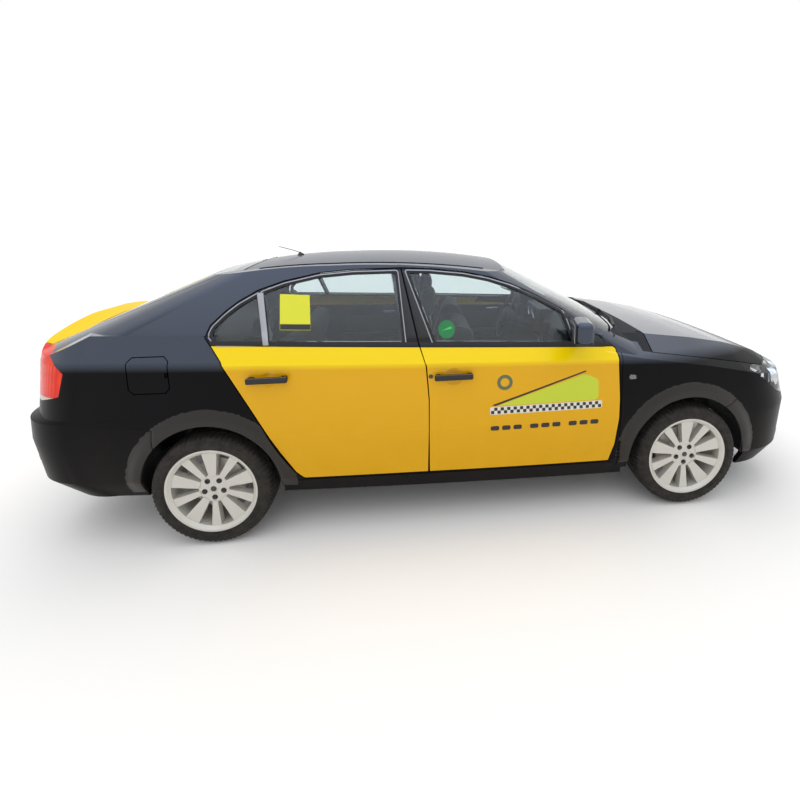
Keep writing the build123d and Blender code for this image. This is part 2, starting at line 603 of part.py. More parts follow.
def add_lid_hinges(parts):
    """A pin on each lid's axis, held by the body, and the lid's strap round it."""
    x, z, y0, y1 = BONNET_HINGE
    for s in (-1, 1):
        strap = span(x, x + 80, s * y0, s * y1, z - 12, z + 2) + across_rod(x, z, 7, s * y0, s * y1)
        slot = span(x - 12, x + 60, s * (y0 - 6), s * (y1 + 6), z - 24, z + 80)
        pin = across_rod(x, z, LID_PIN_R, s * (y0 - 12), s * (y1 + 12))
        hole = across_rod(x, z, LID_PIN_R + PIN_CLEAR, s * (y0 - 1), s * (y1 + 1))
        parts["bonnet"] = (parts["bonnet"] + strap) - hole
        parts["firewall"] = (parts["firewall"] - slot) + pin
    x, z, y0, y1 = TAILGATE_HINGE
    for s in (-1, 1):
        notch = span(x - 12, x + 30, s * (y0 - 14), s * (y1 + 14), z - 60, z + 20)
        ear = span(x - 24, x, s * y0, s * y1, z - 10, z + 1) + across_rod(x, z, 5, s * y0, s * y1)
        ears = (parts["tailgate"] - notch) + ear
        parts["tailgate"] = ears - across_rod(x, z, LID_PIN_R + PIN_CLEAR, s * (y0 - 1), s * (y1 + 1))
        pin = across_rod(x, z, LID_PIN_R, s * (y0 - 8), s * (y1 + 8))
        for y in (y0 - 8, y1 + 2):
            pin = pin + span(x - 3, x + 24, s * y, s * (y + 6), z - 10, z + 2)
        parts["roof"] = parts["roof"] + pin
    x, y, z = FLAP_HINGE
    pin = rod((x, -y, z - 18), (x, -y, z + 18), LID_PIN_R - 0.5)
    arm = span(x - 2, x + 2, -y, -(HALF_W - 85 - 10), z - 10, z + 10)
    notch = span(x - 8, x + 20, -y - 20, -y + 20, z - 14, z + 14)
    hole = rod((x, -y, z - 18.5), (x, -y, z + 18.5), LID_PIN_R - 0.2)
    parts["fuel_flap"] = parts["fuel_flap"].cut(notch, hole)
    parts["body_side_right"] = parts["body_side_right"] + pin + arm


def b_pillar():
    """Left pillar between the doors, clear of the rear door's swing, with a foot on the sill."""
    prism = side_cut(B_PILLAR, REAR_DOOR_CENTRE, SIDE_OUT, 300)
    post = (cabin_form(PILLAR_IN) & prism) - cabin_form(PILLAR_IN + PILLAR_T)
    inner_y = HALF_W - DOOR_T - PILLAR_IN
    foot = span(B_FOOT_X[0], B_FOOT_X[1], inner_y - PILLAR_T, inner_y + 40, FLOOR_Z, FLOOR_Z + 14)
    return (post & span(-600, 400, 0, SIDE_OUT, FLOOR_Z, 1500)) + foot


# ---------------------------------------------------------------- wheels
def ring_solid(profile, centre):
    """Turns an x-free profile of (y, radius) points round the wheel's axle, placed at centre."""
    face = Face(Wire.make_polygon([Vector(0, y, r) for y, r in profile]))
    turned = Solid.revolve(face, 360, Axis((0, 0, 0), (0, 1, 0)))
    return Pos(*centre) * turned


def tyre(centre, side):
    """Plain road tyre; side is +1 on the left, -1 on the right."""
    half, tread = TYRE_W / 2, TYRE_D / 2
    seat = RIM_SEAT_D / 2
    bead = RIM_W / 2 - 11
    profile = [
        (-bead, seat), (-bead, seat + 15), (-half, seat + 40),
        (-half + 2, tread - 30), (-half + 18, tread - 6), (-half + 40, tread),
        (half - 40, tread), (half - 18, tread - 6), (half - 2, tread - 30),
        (half, seat + 40), (bead, seat + 15), (bead, seat),
    ]
    return ring_solid([(y * side, r) for y, r in profile], centre)


def spoke(angle, wide, face_y, side):
    """One spoke from the hub to the barrel, seen from outside as a bar that widens outwards."""
    w0, w1 = wide
    r0, r1 = HUB_R - 6, RIM_SEAT_D / 2 - 9
    lower = [(-w0, r0), (w0, r0), (w1, r1), (-w1, r1)]
    near = [Vector(x, side * (face_y - SPOKE_T), z) for x, z in lower]
    far = [Vector(x, side * (face_y + (0 if z < 100 else SPOKE_RISE)), z) for x, z in lower]
    return Rot(0, angle, 0) * block(near, far)


def rim(centre, side):
    """Alloy wheel with five wide and five narrow spokes, and its brake disc on the same hub."""
    lip, seat = RIM_D / 2, RIM_SEAT_D / 2
    half = RIM_W / 2
    barrel = ring_solid([(y * side, r) for y, r in [
        (-half - 1, lip), (-half + 8, lip), (-half + 9, seat - 0.3),
        (half - 9, seat - 0.3), (half - 8, lip), (half + 1, lip),
        (half + 1, lip - 9), (half - 14, seat - 12), (-half + 14, seat - 12), (-half - 1, lip - 9),
    ]], (0, 0, 0))
    hub = across_rod(0, 0, HUB_R, side * (FACE_Y - HUB_DEPTH), side * (FACE_Y - 4))
    wheel = barrel + hub
    for i in range(5):
        wheel = wheel + spoke(i * 72, WIDE_SPOKE, FACE_Y, side)
        wheel = wheel + spoke(i * 72 + 36, NARROW_SPOKE, FACE_Y, side)
    for i in range(5):
        bolt = across_rod(0, BOLT_PCD / 2, 11, side * (FACE_Y - 26), side * (FACE_Y + 20))
        wheel = wheel - Rot(0, i * 72 + 36, 0) * bolt
    disc_y = FACE_Y - HUB_DEPTH
    disc = across_rod(0, 0, DISC_R, side * (disc_y - 22), side * disc_y)
    bore = across_rod(0, 0, STUB_R + PIN_CLEAR, side * (disc_y - 40), side * (disc_y + STUB_L))
    wheel = wheel + disc - bore
    return Pos(*centre) * wheel


def wheel_centre(front, side):
    return (AXLE_F, side * TRACK_FRONT / 2, HUB_Z) if front else (AXLE_R, side * TRACK_REAR / 2, HUB_Z)


def stub(front, side):
    """Fixed stub axle in the wheel's hub, with a flange behind the brake disc."""
    x, y, z = wheel_centre(front, side)
    back = y + side * (FACE_Y - HUB_DEPTH - 22 - AXLE_CLEAR)
    tip = y + side * (FACE_Y - HUB_DEPTH + STUB_L - 2)
    inner = back - side * FLANGE_T
    return across_rod(x, z, STUB_R, back - side * 10, tip) + across_rod(x, z, 52, inner, back), inner


# ---------------------------------------------------------------- running gear
def kingpin_y(z):
    return BALL_Y - math.tan(math.radians(KINGPIN_LEAN)) * (z - BALL_Z)


def knuckle(side):
    axle, inner = stub(True, side)
    x, _, z = wheel_centre(True, side)
    carrier = span(x - 45, x + 45, side * (abs(inner) - 30), inner, z - 60, z + 62)
    arm = span(x - 24, x + 24, side * (BALL_Y - 24), side * (abs(inner) - 6), BALL_Z + 32, z - 40)
    ball = Pos(x, side * BALL_Y, BALL_Z) * Sphere(15)
    neck = rod((x, side * BALL_Y, BALL_Z), (x, side * kingpin_y(BALL_Z + 44), BALL_Z + 44), 8)
    top = STRUT_TOP_Z
    strut = rod((x, side * kingpin_y(z + 30), z + 30), (x, side * kingpin_y(top - 120), top - 120), 26)
    shaft = rod((x, side * kingpin_y(z + 60), z + 60), (x, side * kingpin_y(top), top), SHAFT_R)
    clamp = span(x - 34, x + 34, side * (kingpin_y(z + 100) - 34), side * (abs(inner) - 4), z + 20, z + 110)
    caliper = across_rod(x, z, DISC_R + 18, inner - side * 4, inner + side * 14)
    caliper = caliper - across_rod(x, z, DISC_R - 60, -2000, 2000)
    caliper = caliper & span(x - 200, x - 60, -2000, 2000, z - 75, z + 75)
    bridge = span(x - 78, x - 40, side * (abs(inner) - 24), inner + side * 2, z - 30, z + 30)
    return axle + carrier + arm + ball + neck + strut + shaft + clamp + caliper + bridge


def subframe():
    """Cross member, lower arms with their ball sockets, and the drive shafts."""
    frame = span(AXLE_F - 210, AXLE_F + 70, -340, 340, 188, 238)
    for s in (-1, 1):
        pin = (AXLE_F, s * BALL_Y, BALL_Z)
        socket = Pos(*pin) * (Cylinder(25, 34) - Sphere(15 + PIN_CLEAR))
        socket = socket - Pos(AXLE_F, s * BALL_Y, BALL_Z + 14) * Cylinder(13.5, 16)
        legs = rod((AXLE_F, s * 320, 212), (AXLE_F, s * (BALL_Y - 20), BALL_Z), 14)
        legs = legs + rod((AXLE_F - 180, s * 320, 216), (AXLE_F, s * (BALL_Y - 22), BALL_Z), 12)
        frame = frame + socket + legs - Pos(*pin) * Sphere(15 + PIN_CLEAR)
        frame = frame + across_rod(AXLE_F, HUB_Z, 14, s * 330, s * SHAFT_END)
    return frame


def front_frame():
    """Rails, bumper beam and radiator, with the boxes that join the rails to the wings."""
    frame = span(BEAM_X - 60, BEAM_X, -550, 550, 430, 520)
    frame = frame + span(RADIATOR_X, RADIATOR_X + 40, -350, 350, 280, 650)
    for s in (-1, 1):
        frame = frame + span(COWL_X, BEAM_X - 30, s * RAIL_Y, s * (RAIL_Y + 60), 390, 500)
        frame = frame + span(AXLE_F - 120, AXLE_F + 120, s * RAIL_Y, s * FRONT_WELL_IN, 330, 420)
    return frame


def rear_axle():
    """Twist beam: two trailing arms, the beam between them and the stub axles."""
    beam = span(AXLE_R + 170, AXLE_R + 260, -560, 560, 304, 362)
    for s in (-1, 1):
        axle, inner = stub(False, s)
        pivot = (AXLE_R + 430, s * 520, 330)
        beam = beam + rod(pivot, (AXLE_R + 200, s * 545, HUB_Z - 8), 26)
        beam = beam + rod((AXLE_R + 210, s * 545, HUB_Z - 8), (AXLE_R - 20, s * 560, HUB_Z), 26)
        beam = beam + span(pivot[0] - 35, pivot[0] + 35, s * 490, s * 550, 300, 398)
        beam = beam + across_rod(AXLE_R, HUB_Z, 30, s * 540, inner + s * 4) + axle
        beam = beam + rod((AXLE_R - 30, s * 540, HUB_Z), (AXLE_R - 60, s * 530, 390), 22)
    return beam


# ---------------------------------------------------------------- cabin
def cushion(x0, x1, y0, y1, z0, z1, radius=35):
    box = span(x0, x1, y0, y1, z0, z1)
    return fillet(box.edges(), radius)


def seat_back(foot_x, foot_z, top_x, top_z, y, half, thick):
    lean = math.degrees(math.atan2(foot_x - top_x, top_z - foot_z))
    tall = math.hypot(foot_x - top_x, top_z - foot_z)
    box = fillet(Box(thick, 2 * half, tall).edges(), 35)
    return Pos((foot_x + top_x) / 2, y, (foot_z + top_z) / 2) * Rot(0, -lean, 0) * box


def front_seats():
    out = []
    for s in (-1, 1):
        y = s * SEAT_Y
        base = cushion(110, 630, y - 238, y + 238, 400, 545)
        plinth = span(190, 560, y - 190, y + 190, FLOOR_Z, 420)
        back = seat_back(150, 480, -60, 1075, y, 238, 135)
        head = Pos(-75, y, 1175) * Rot(0, -12, 0) * fillet(Box(95, 260, 165).edges(), 35)
        posts = rod((-58, y - 55, 1020), (-74, y - 55, 1150), 8)
        posts = posts + rod((-58, y + 55, 1020), (-74, y + 55, 1150), 8)
        out.append(base + plinth + back + head + posts)
    return Compound(children=[s for part in out for s in part.solids()])


def rear_bench():
    base = cushion(-830, -470, -640, 640, BOOT_FLOOR_Z - 0.5, 590)
    base = base + cushion(-1000, -700, -560, 560, BOOT_FLOOR_Z, 575)
    back = seat_back(-880, 470, -1040, 1000, 0, 560, 130)
    bench = base + back
    for y in (-360, 0, 360):
        bench = bench + Pos(-1056, y, 1070) * Rot(0, -14, 0) * fillet(Box(80, 240, 130).edges(), 30)
        for post in (y - 50, y + 50):
            bench = bench + rod((-1030, post, 960), (-1052, post, 1060), 7)
    return bench & span(-2000, 0, -900, 900, BOOT_FLOOR_Z, 2000)


def dashboard():
    outline = [(FIREWALL_X, 600), (1120, 905), (1118, 948), (1000, 968), (880, 958), (815, 915), (800, 830),
               (860, 700), (930, 610)]
    dash = whole(across(outline, 0, DASH_Y) & ROOM)
    hood = span(780, 900, WHEEL_Y - 190, WHEEL_Y + 190, 880, 985)
    console = span(-100, 900, -110, 110, FLOOR_Z, 470) + span(780, 930, -140, 140, 460, 700)
    tip = column_point(-40)
    column = rod(column_point(-330), tip, 28)
    return dash + hood + console + column


def column_point(along):
    """A point on the steering column; along is measured from the steering wheel towards the driver."""
    a = math.radians(COLUMN_LEAN)
    return (WHEEL_X - along * math.cos(a), WHEEL_Y, WHEEL_Z + along * math.sin(a))


def steering_wheel():
    lean = math.radians(COLUMN_LEAN)
    place = Plane(origin=column_point(0), z_dir=(-math.cos(lean), 0, math.sin(lean)))
    wheel = Torus(WHEEL_R, 15) + Cylinder(58, 46)
    for angle in (0, 180, 270):
        wheel = wheel + Rot(0, 0, angle) * Pos(WHEEL_R / 2 + 20, 0, 0) * Box(WHEEL_R - 40, 34, 18)
    return place * (Rot(0, 0, STEER_WHEEL_TURN) * wheel)


def mirror_piece():
    """Left door mirror: foot on the door, arm and housing."""
    box = fillet(Box(95, 190, 118).edges(), 34)
    housing = Pos(705, 905, 1092) * Rot(0, 0, 12) * box
    arm = rod((800, 740, 1040), (715, 880, 1060), 17)
    return (housing + arm) - OUT


def screen_z(x, y):
    """Height of the windscreen's outer face over a point in plan."""
    base, top = GLASS_RINGS["base"], GLASS_RINGS["top"]
    mix = lambda i, t: base[i] + (top[i] - base[i]) * t
    t = 0.2
    for _ in range(30):
        nose = mix(3, t) - mix(4, t) * (y / mix(5, t)) ** 2
        t += (nose - x) / (base[3] - top[3])
    return mix(0, t) - mix(1, t) * x


def wiper(pivot, mid, tip):
    points = [Vector(x, y, screen_z(x, y) + WIPER_UP) for x, y in (pivot, mid, tip)]
    spindle = rod(points[0] - Vector(0, 0, 60), points[0], WIPER_R)
    arm = rod(points[0], points[1], WIPER_R) + rod(points[1], points[2], WIPER_R)
    return arm + spindle + Pos(*points[1]) * Sphere(WIPER_R)


def underbody():
    """Exhaust pipe, silencer and tail pipe."""
    pipe = rod((1000, 0, 215), (-690, 0, 222), 26)
    bend = rod((-690, 0, 222), (-1620, -320, 300), 26)
    pot = fillet(span(-1990, -1600, -520, -160, 225, 340).edges(), 40)
    tail = rod((-1960, -420, 242), (-2170, -440, 226), 22)
    return pipe + bend + pot + tail


def engine():
    return fillet(span(1330, 1830, -330, 330, 300, 800).edges(), 30)


def grille():
    """Bars of the upper mouth and the lower intake, each in its own frame."""
    out = []
    z0, z1 = GRILLE_Z
    frame = span(2120, 2140, -GRILLE_Y, GRILLE_Y, z0, z1)
    frame = frame - span(2000, 2400, -GRILLE_Y + 12, GRILLE_Y - 12, z0 + 10, z1 - 10)
    for i in range(GRILLE_BARS):
        y = -GRILLE_Y + 12 + (i + 0.5) * (2 * GRILLE_Y - 24) / GRILLE_BARS
        frame = frame + span(2122, 2138, y - 4, y + 4, z0, z1)
    z0, z1 = INTAKE_Z
    low = span(2120, 2140, -INTAKE_Y, INTAKE_Y, z0, z1)
    low = low - span(2000, 2400, -INTAKE_Y + 12, INTAKE_Y - 12, z0 + 10, z1 - 10)
    for i in range(INTAKE_BARS):
        z = z0 + (i + 0.5) * (z1 - z0) / INTAKE_BARS
        low = low + span(2122, 2138, -INTAKE_Y, INTAKE_Y, z - 5, z + 5)
    return Compound(children=[*frame.solids(), *low.solids()])


def running_parts():
    parts = {}
    for side, name in ((1, "left"), (-1, "right")):
        for front, end in ((True, "front"), (False, "rear")):
            centre = wheel_centre(front, side)
            parts[f"rim_{end}_{name}"] = rim(centre, side)
            parts[f"tyre_{end}_{name}"] = tyre(centre, side)
        parts[f"knuckle_{name}"] = knuckle(side)
    parts["front_subframe"] = subframe()
    parts["front_frame"] = front_frame()
    parts["rear_axle"] = rear_axle()
    parts["engine_block"] = engine()
    parts["exhaust"] = underbody()
    return parts


def cabin_parts():
    mirror = mirror_piece()
    shelf = whole(ROOM & span(-1560, -1115, 0, 760, 1000, 1016))
    return {
        "front_seats": front_seats(),
        "rear_bench": rear_bench(),
        "dashboard": dashboard(),
        "steering_wheel": steering_wheel(),
        "parcel_shelf": shelf,
        "mirror_left": mirror,
        "mirror_right": mirrored(mirror),
        "grille": grille(),
    }


def door_parts():
    parts = {}
    for kind in DOORS:
        leaf, panes = door(kind)
        glass = Compound(children=[s for p in panes for s in p.solids()])
        parts[f"{kind}_door_left"], parts[f"{kind}_door_right"] = leaf, mirrored(leaf)
        parts[f"{kind}_door_glass_left"], parts[f"{kind}_door_glass_right"] = glass, mirrored(glass)
    return parts


def main():
    os.makedirs("parts", exist_ok=True)
    pieces = {**running_parts(), **cabin_parts(), **body_parts(), **door_parts()}
    arms = [(wiper(*row) - pieces["firewall"]).solids() for row in WIPERS]
    pieces["wipers"] = Compound(children=[max(cut, key=lambda s: s.volume) for cut in arms])
    for name, shape in pieces.items():
        solids = [s for s in shape.solids() if s.volume > SLIVER]
        kept = solids[0] if len(solids) == 1 else Compound(children=solids)
        export_step(kept, f"parts/{name}.step")


main()
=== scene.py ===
import math

import bpy
import numpy as np
from mathutils import Matrix, Vector
from mathutils.bvhtree import BVHTree
from mathutils.geometry import delaunay_2d_cdt


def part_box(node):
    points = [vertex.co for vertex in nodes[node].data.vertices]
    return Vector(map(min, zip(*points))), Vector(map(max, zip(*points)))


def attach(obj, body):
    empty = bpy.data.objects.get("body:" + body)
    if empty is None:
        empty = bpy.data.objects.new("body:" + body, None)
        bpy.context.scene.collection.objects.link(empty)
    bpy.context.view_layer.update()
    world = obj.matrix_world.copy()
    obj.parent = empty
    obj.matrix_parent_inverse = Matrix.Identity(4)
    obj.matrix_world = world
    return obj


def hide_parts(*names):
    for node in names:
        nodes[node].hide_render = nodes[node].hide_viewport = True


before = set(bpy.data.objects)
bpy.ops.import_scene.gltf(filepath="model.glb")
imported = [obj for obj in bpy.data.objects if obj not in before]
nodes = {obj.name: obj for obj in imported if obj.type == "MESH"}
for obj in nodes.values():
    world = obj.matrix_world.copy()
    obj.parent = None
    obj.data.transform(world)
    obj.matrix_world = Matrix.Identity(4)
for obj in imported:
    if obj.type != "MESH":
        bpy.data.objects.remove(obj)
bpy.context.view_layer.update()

# Underbody and running gear: a welded steel pan sprayed with wax underseal and carpeted on its upper face,
# with painted axles and a bare cast block. Trim that carries no paint is grained polypropylene.
CARPET_Z = 0.262


def linear(code):
    """Linear colour of an sRGB hex code."""
    parts = [int(code[i:i + 2], 16) / 255 for i in (1, 3, 5)]
    return [c / 12.92 if c <= 0.04045 else ((c + 0.055) / 1.055) ** 2.4 for c in parts] + [1.0]


def add(tree, kind, links=None, **settings):
    """Adds a shader node, sets its inputs by name and its properties, and links sources into it."""
    node = tree.nodes.new("ShaderNode" + kind)
    for key, value in settings.items():
        if hasattr(node, key):
            setattr(node, key, value)
            continue
        socket = next(s for s in node.inputs if s.name.lower() == key.replace("_", " "))
        socket.default_value = value
    for socket, source in (links or {}).items():
        tree.links.new(source, node.inputs[socket])
    return node


def finish(name, slot, **settings):
    """New material with one shader on its output."""
    mat = bpy.data.materials.new(name)
    mat.use_nodes = True
    tree = mat.node_tree
    tree.nodes.clear()
    shader = add(tree, "BsdfPrincipled", **settings)
    add(tree, "OutputMaterial", {"Surface": shader.outputs[0]})
    return mat, tree, shader


def ramp(tree, source, a, b, low, high):
    """Value that runs from low to high as the source runs from a to b."""
    node = add(tree, "MapRange", {"Value": source})
    for socket, value in zip(node.inputs[1:5], (a, b, low, high)):
        socket.default_value = value
    return node.outputs[0]


def math_node(tree, operation, a, b):
    """Sum, product or test of two numbers or sockets."""
    node = tree.nodes.new("ShaderNodeMath")
    node.operation = operation
    for socket, value in zip(node.inputs, (a, b)):
        if isinstance(value, (int, float)):
            socket.default_value = value
        else:
            tree.links.new(value, socket)
    return node.outputs[0]


def blend_colour(tree, share, a, b):
    """Mix of two colours, each a hex code or a socket."""
    mix = add(tree, "Mix", {0: share}, data_type="RGBA")
    for socket, value in ((6, a), (7, b)):
        if isinstance(value, str):
            mix.inputs[socket].default_value = linear(value)
        else:
            tree.links.new(value, mix.inputs[socket])
    return mix.outputs[2]


def axes_of(tree):
    """Place of the shaded point on its piece, whole and as separate x, y and z."""
    where = add(tree, "TexCoord").outputs["Object"]
    return where, add(tree, "SeparateXYZ", {"Vector": where})


def bumped(tree, shader, height, strength, distance, socket="Normal"):
    bump = add(tree, "Bump", {"Height": height}, strength=strength, distance=distance)
    tree.links.new(bump.outputs[0], shader.inputs[socket])


def grained(mat_parts, scale, strength, distance, detail=3, socket="Normal"):
    """Fine bump of the given grain, in grains per metre."""
    mat, tree, shader = mat_parts
    where = add(tree, "TexCoord").outputs["Object"]
    grain = add(tree, "TexNoise", {"Vector": where}, scale=scale, detail=detail)
    bumped(tree, shader, grain.outputs[0], strength, distance, socket)
    return mat


def stock(name, slot, code, grain=None, **settings):
    """Material of one colour, with a fine grain where one is given."""
    parts = finish(name, slot, base_color=linear(code), **settings)
    return grained(parts, *grain) if grain else parts[0]


def finish_with(mat, *names):
    """Gives CAD nodes their material."""
    for name in names:
        nodes[name].data.materials.clear()
        nodes[name].data.materials.append(mat)


def floor_split(name):
    """Underseal below the floor and needled carpet above it."""
    mat, tree, shader = finish(name, "underseal", roughness=0.9)
    _, axes = axes_of(tree)
    up = math_node(tree, "GREATER_THAN", axes.outputs["Z"], CARPET_Z)
    tree.links.new(blend_colour(tree, up, "#101112", "#1b1c1f"), shader.inputs["Base Color"])
    return grained((mat, tree, shader), 600, 0.6, 0.0015)


plastic = stock("grained_pp", "black_plastic", "#17181a", (900, 0.2, 0.0004), roughness=0.55)
steel = stock("zinc_steel", "chassis_steel", "#4a4b4d", (80, 0.3, 0.001), metallic=0.7, roughness=0.5)
underseal = stock("wax_underseal", "underseal", "#131415", (140, 0.5, 0.002), roughness=0.85)
iron = stock("grey_iron", "cast_iron", "#4c4d4e", (260, 0.4, 0.001), metallic=0.6, roughness=0.7)
finish_with(plastic, *nodes)
finish_with(floor_split("floor_pan"), "floor", "firewall")
finish_with(underseal, "front_frame")
finish_with(steel, "front_subframe", "rear_axle", "knuckle_left", "knuckle_right", "exhaust")
finish_with(iron, "engine_block")

# Body shell and outer panels: pressed steel in two-coat enamel, colour under clear lacquer. Above the crease
# along the side the black carries a painted blue sky reflection; under it it is dusty. The bumpers end in
# bare plastic.
BLACK, PAINTED_SKY_REFLECTION = "#07070a", "#303a4c"
CREASE_FALL, CREASE_Z, DUSTY_GLOSS = 0.0313, (0.90, 0.95), 0.12
BARE_FOOT_Z = (0.225, 0.232)


def lacquered(name, slot, coat):
    """Base of every enamel: dull colour under a lacquer of the given index with fine orange peel."""
    parts = finish(name, slot, roughness=0.35, specular_ior_level=0.04, coat_roughness=0.02, coat_ior=coat)
    grained(parts, 330, 0.02, 0.001, 1, "Coat Normal")
    return parts


def enamel(name, slot, code, dusty, split=None, coat=1.5):
    """Two-coat enamel: colour under clear lacquer with orange peel of about 3 mm, and a film of road dust
    that thins upwards and dulls the lacquer. With split, a second colour takes over where it says."""
    mat, tree, shader = lacquered(name, slot, coat)
    where, axes = axes_of(tree)
    patchy = add(tree, "TexNoise", {"Vector": where}, scale=7, detail=6, roughness=0.65)
    height = ramp(tree, axes.outputs["Z"], 0.18, 0.8, 0.75, 0.0)
    film = math_node(tree, "MULTIPLY", height, patchy.outputs[0])
    colour = blend_colour(tree, film, code, dusty)
    gloss = ramp(tree, film, 0.0, 0.4, 1.0, 0.35)
    if split:
        colour, gloss = split(tree, axes, colour, gloss)
    tree.links.new(colour, shader.inputs["Base Color"])
    tree.links.new(gloss, shader.inputs["Coat Weight"])
    return mat


def leaning_height(tree, axes, fall):
    """Height above a line in side view that falls towards the nose."""
    slope = math_node(tree, "MULTIPLY", axes.outputs["X"], fall)
    return math_node(tree, "ADD", axes.outputs["Z"], slope)


def black_split(tree, axes, colour, gloss):
    """Painted blue sky reflection on the black above the crease; below it the road's dust dulls the lacquer.
    """
    height = leaning_height(tree, axes, CREASE_FALL)
    colour = blend_colour(tree, ramp(tree, height, *CREASE_Z, 0.0, 1.0), colour, PAINTED_SKY_REFLECTION)
    return colour, math_node(tree, "MULTIPLY", gloss, ramp(tree, height, *CREASE_Z, DUSTY_GLOSS, 1.0))


def bumper_split(tree, axes, colour, gloss):
    """Bumpers: enamel above, unpainted black plastic along the foot."""
    low = ramp(tree, axes.outputs["Z"], *BARE_FOOT_Z, 1.0, 0.0)
    colour = blend_colour(tree, low, colour, "#101011")
    colour, gloss = black_split(tree, axes, colour, gloss)
    return colour, math_node(tree, "MULTIPLY", gloss, ramp(tree, axes.outputs["Z"], *BARE_FOOT_Z, 0.1, 1.0))


def shell_finish(name, headliner):
    """Black enamel outside with a painted blue sky reflection above the crease, dark grey trim on the inside
    of the pillars and a pale headliner.
    """
    mat, tree, shader = lacquered(name, "black_paint", 1.5)
    faces = add(tree, "NewGeometry")
    out = add(tree, "SeparateXYZ", {"Vector": faces.outputs["Normal"]})
    _, place = axes_of(tree)
    if headliner:
        inner = math_node(tree, "LESS_THAN", out.outputs["Z"], -0.5)
    else:
        toward = math_node(tree, "MULTIPLY", out.outputs["Y"], place.outputs["Y"])
        inner = math_node(tree, "LESS_THAN", toward, -0.1)
    code, sheen = ("#8a8780", 0.5) if headliner else ("#2b2b2d", 1.0)
    height = leaning_height(tree, place, CREASE_FALL)
    skin = blend_colour(tree, ramp(tree, height, *CREASE_Z, 0.0, 1.0), BLACK, PAINTED_SKY_REFLECTION)
    tree.links.new(blend_colour(tree, inner, skin, code), shader.inputs["Base Color"])
    gloss = ramp(tree, height, *CREASE_Z, DUSTY_GLOSS, sheen)
    outer = math_node(tree, "SUBTRACT", 1.0, inner)
    tree.links.new(math_node(tree, "MULTIPLY", gloss, outer), shader.inputs["Coat Weight"])
    return mat


black_enamel = enamel("black_enamel", "black_paint", BLACK, "#2c2723", black_split)
bumper_enamel = enamel("bumper_enamel", "black_paint", BLACK, "#332c27", bumper_split)
finish_with(black_enamel, "wing_left", "wing_right", "bonnet", "fuel_flap", "mirror_left", "mirror_right")
finish_with(bumper_enamel, "front_bumper", "rear_bumper")
finish_with(shell_finish("side_enamel", False), "body_side_left", "body_side_right")
finish_with(shell_finish("roof_enamel", True), "roof")

# Doors and tailgate: the same enamel in taxi yellow, up to the doors' waist and behind the rear window.
# Above the crease it is painted brighter, a painted highlight. The doors' inner faces are moulded in dark
# trim.
YELLOW, PAINTED_HIGHLIGHT_YELLOW, LID_YELLOW = "#eab005", "#ffdc05", "#fbd208"
WAIST_Z, WAIST_FALL, LID_YELLOW_X = 1.0055, 0.0443, -1.868


def door_split(tree, axes, colour, gloss):
    """Doors are yellow up to the waist with a painted highlight above the crease, black over it and dark grey
    inside.
    """
    crease = ramp(tree, leaning_height(tree, axes, CREASE_FALL), 0.905, 0.935, 0.0, 1.0)
    colour = blend_colour(tree, crease, colour, PAINTED_HIGHLIGHT_YELLOW)
    upper = math_node(tree, "GREATER_THAN", leaning_height(tree, axes, WAIST_FALL), WAIST_Z)
    colour = blend_colour(tree, upper, colour, "#0c0f15")
    out = math_node(tree, "ABSOLUTE", axes.outputs["Y"], 0)
    wall = ramp(tree, axes.outputs["Z"], 0.95, 1.42, 0.775, 0.50)
    skin = math_node(tree, "GREATER_THAN", out, wall)
    return blend_colour(tree, skin, "#26272a", colour), math_node(tree, "MULTIPLY", gloss, skin)


def lid_split(tree, axes, colour, gloss):
    """The tailgate is yellow behind its window and black round it, the black carrying a painted blue sky
    reflection.
    """
    rear = math_node(tree, "LESS_THAN", axes.outputs["X"], LID_YELLOW_X)
    film = math_node(tree, "SUBTRACT", 1.0, math_node(tree, "MULTIPLY", rear, 0.7))
    return blend_colour(tree, rear, PAINTED_SKY_REFLECTION, colour), math_node(tree, "MULTIPLY", gloss, film)


door_enamel = enamel("door_enamel", "yellow_paint", YELLOW, "#c9951c", door_split, 1.33)
lid_enamel = enamel("lid_enamel", "yellow_paint", LID_YELLOW, "#c9951c", lid_split, 1.36)
finish_with(door_enamel, "front_door_left", "front_door_right", "rear_door_left", "rear_door_right")
finish_with(lid_enamel, "tailgate")

# Glass, lamps, grille and parcel shelf: toughened glass, clear polycarbonate headlamps, fluted red acrylic
# tail lamps with a clear strip along the foot, gloss black moulding and needled carpet.
LAMP_STRIP_Z = 0.828
PANE_SHADE = 0.75  # share of daylight that a pane lets through onto what it shades


def clear_pane(name, slot, code, ior, weight=1.0):
    """Clear sheet that lets the light through to what stands behind it."""
    mat, tree, shader = finish(name, slot, base_color=linear(code), roughness=0.0, ior=ior,
                               transmission_weight=weight)
    rays = add(tree, "LightPath")
    through = add(tree, "BsdfTransparent")
    through.inputs["Color"].default_value = [c * PANE_SHADE for c in linear(code)[:3]] + [1]
    sources = {0: rays.outputs["Is Shadow Ray"], 1: shader.outputs[0], 2: through.outputs[0]}
    mix = add(tree, "MixShader", sources)
    output = next(n for n in tree.nodes if n.type == "OUTPUT_MATERIAL")
    tree.links.new(mix.outputs[0], output.inputs["Surface"])
    return mat


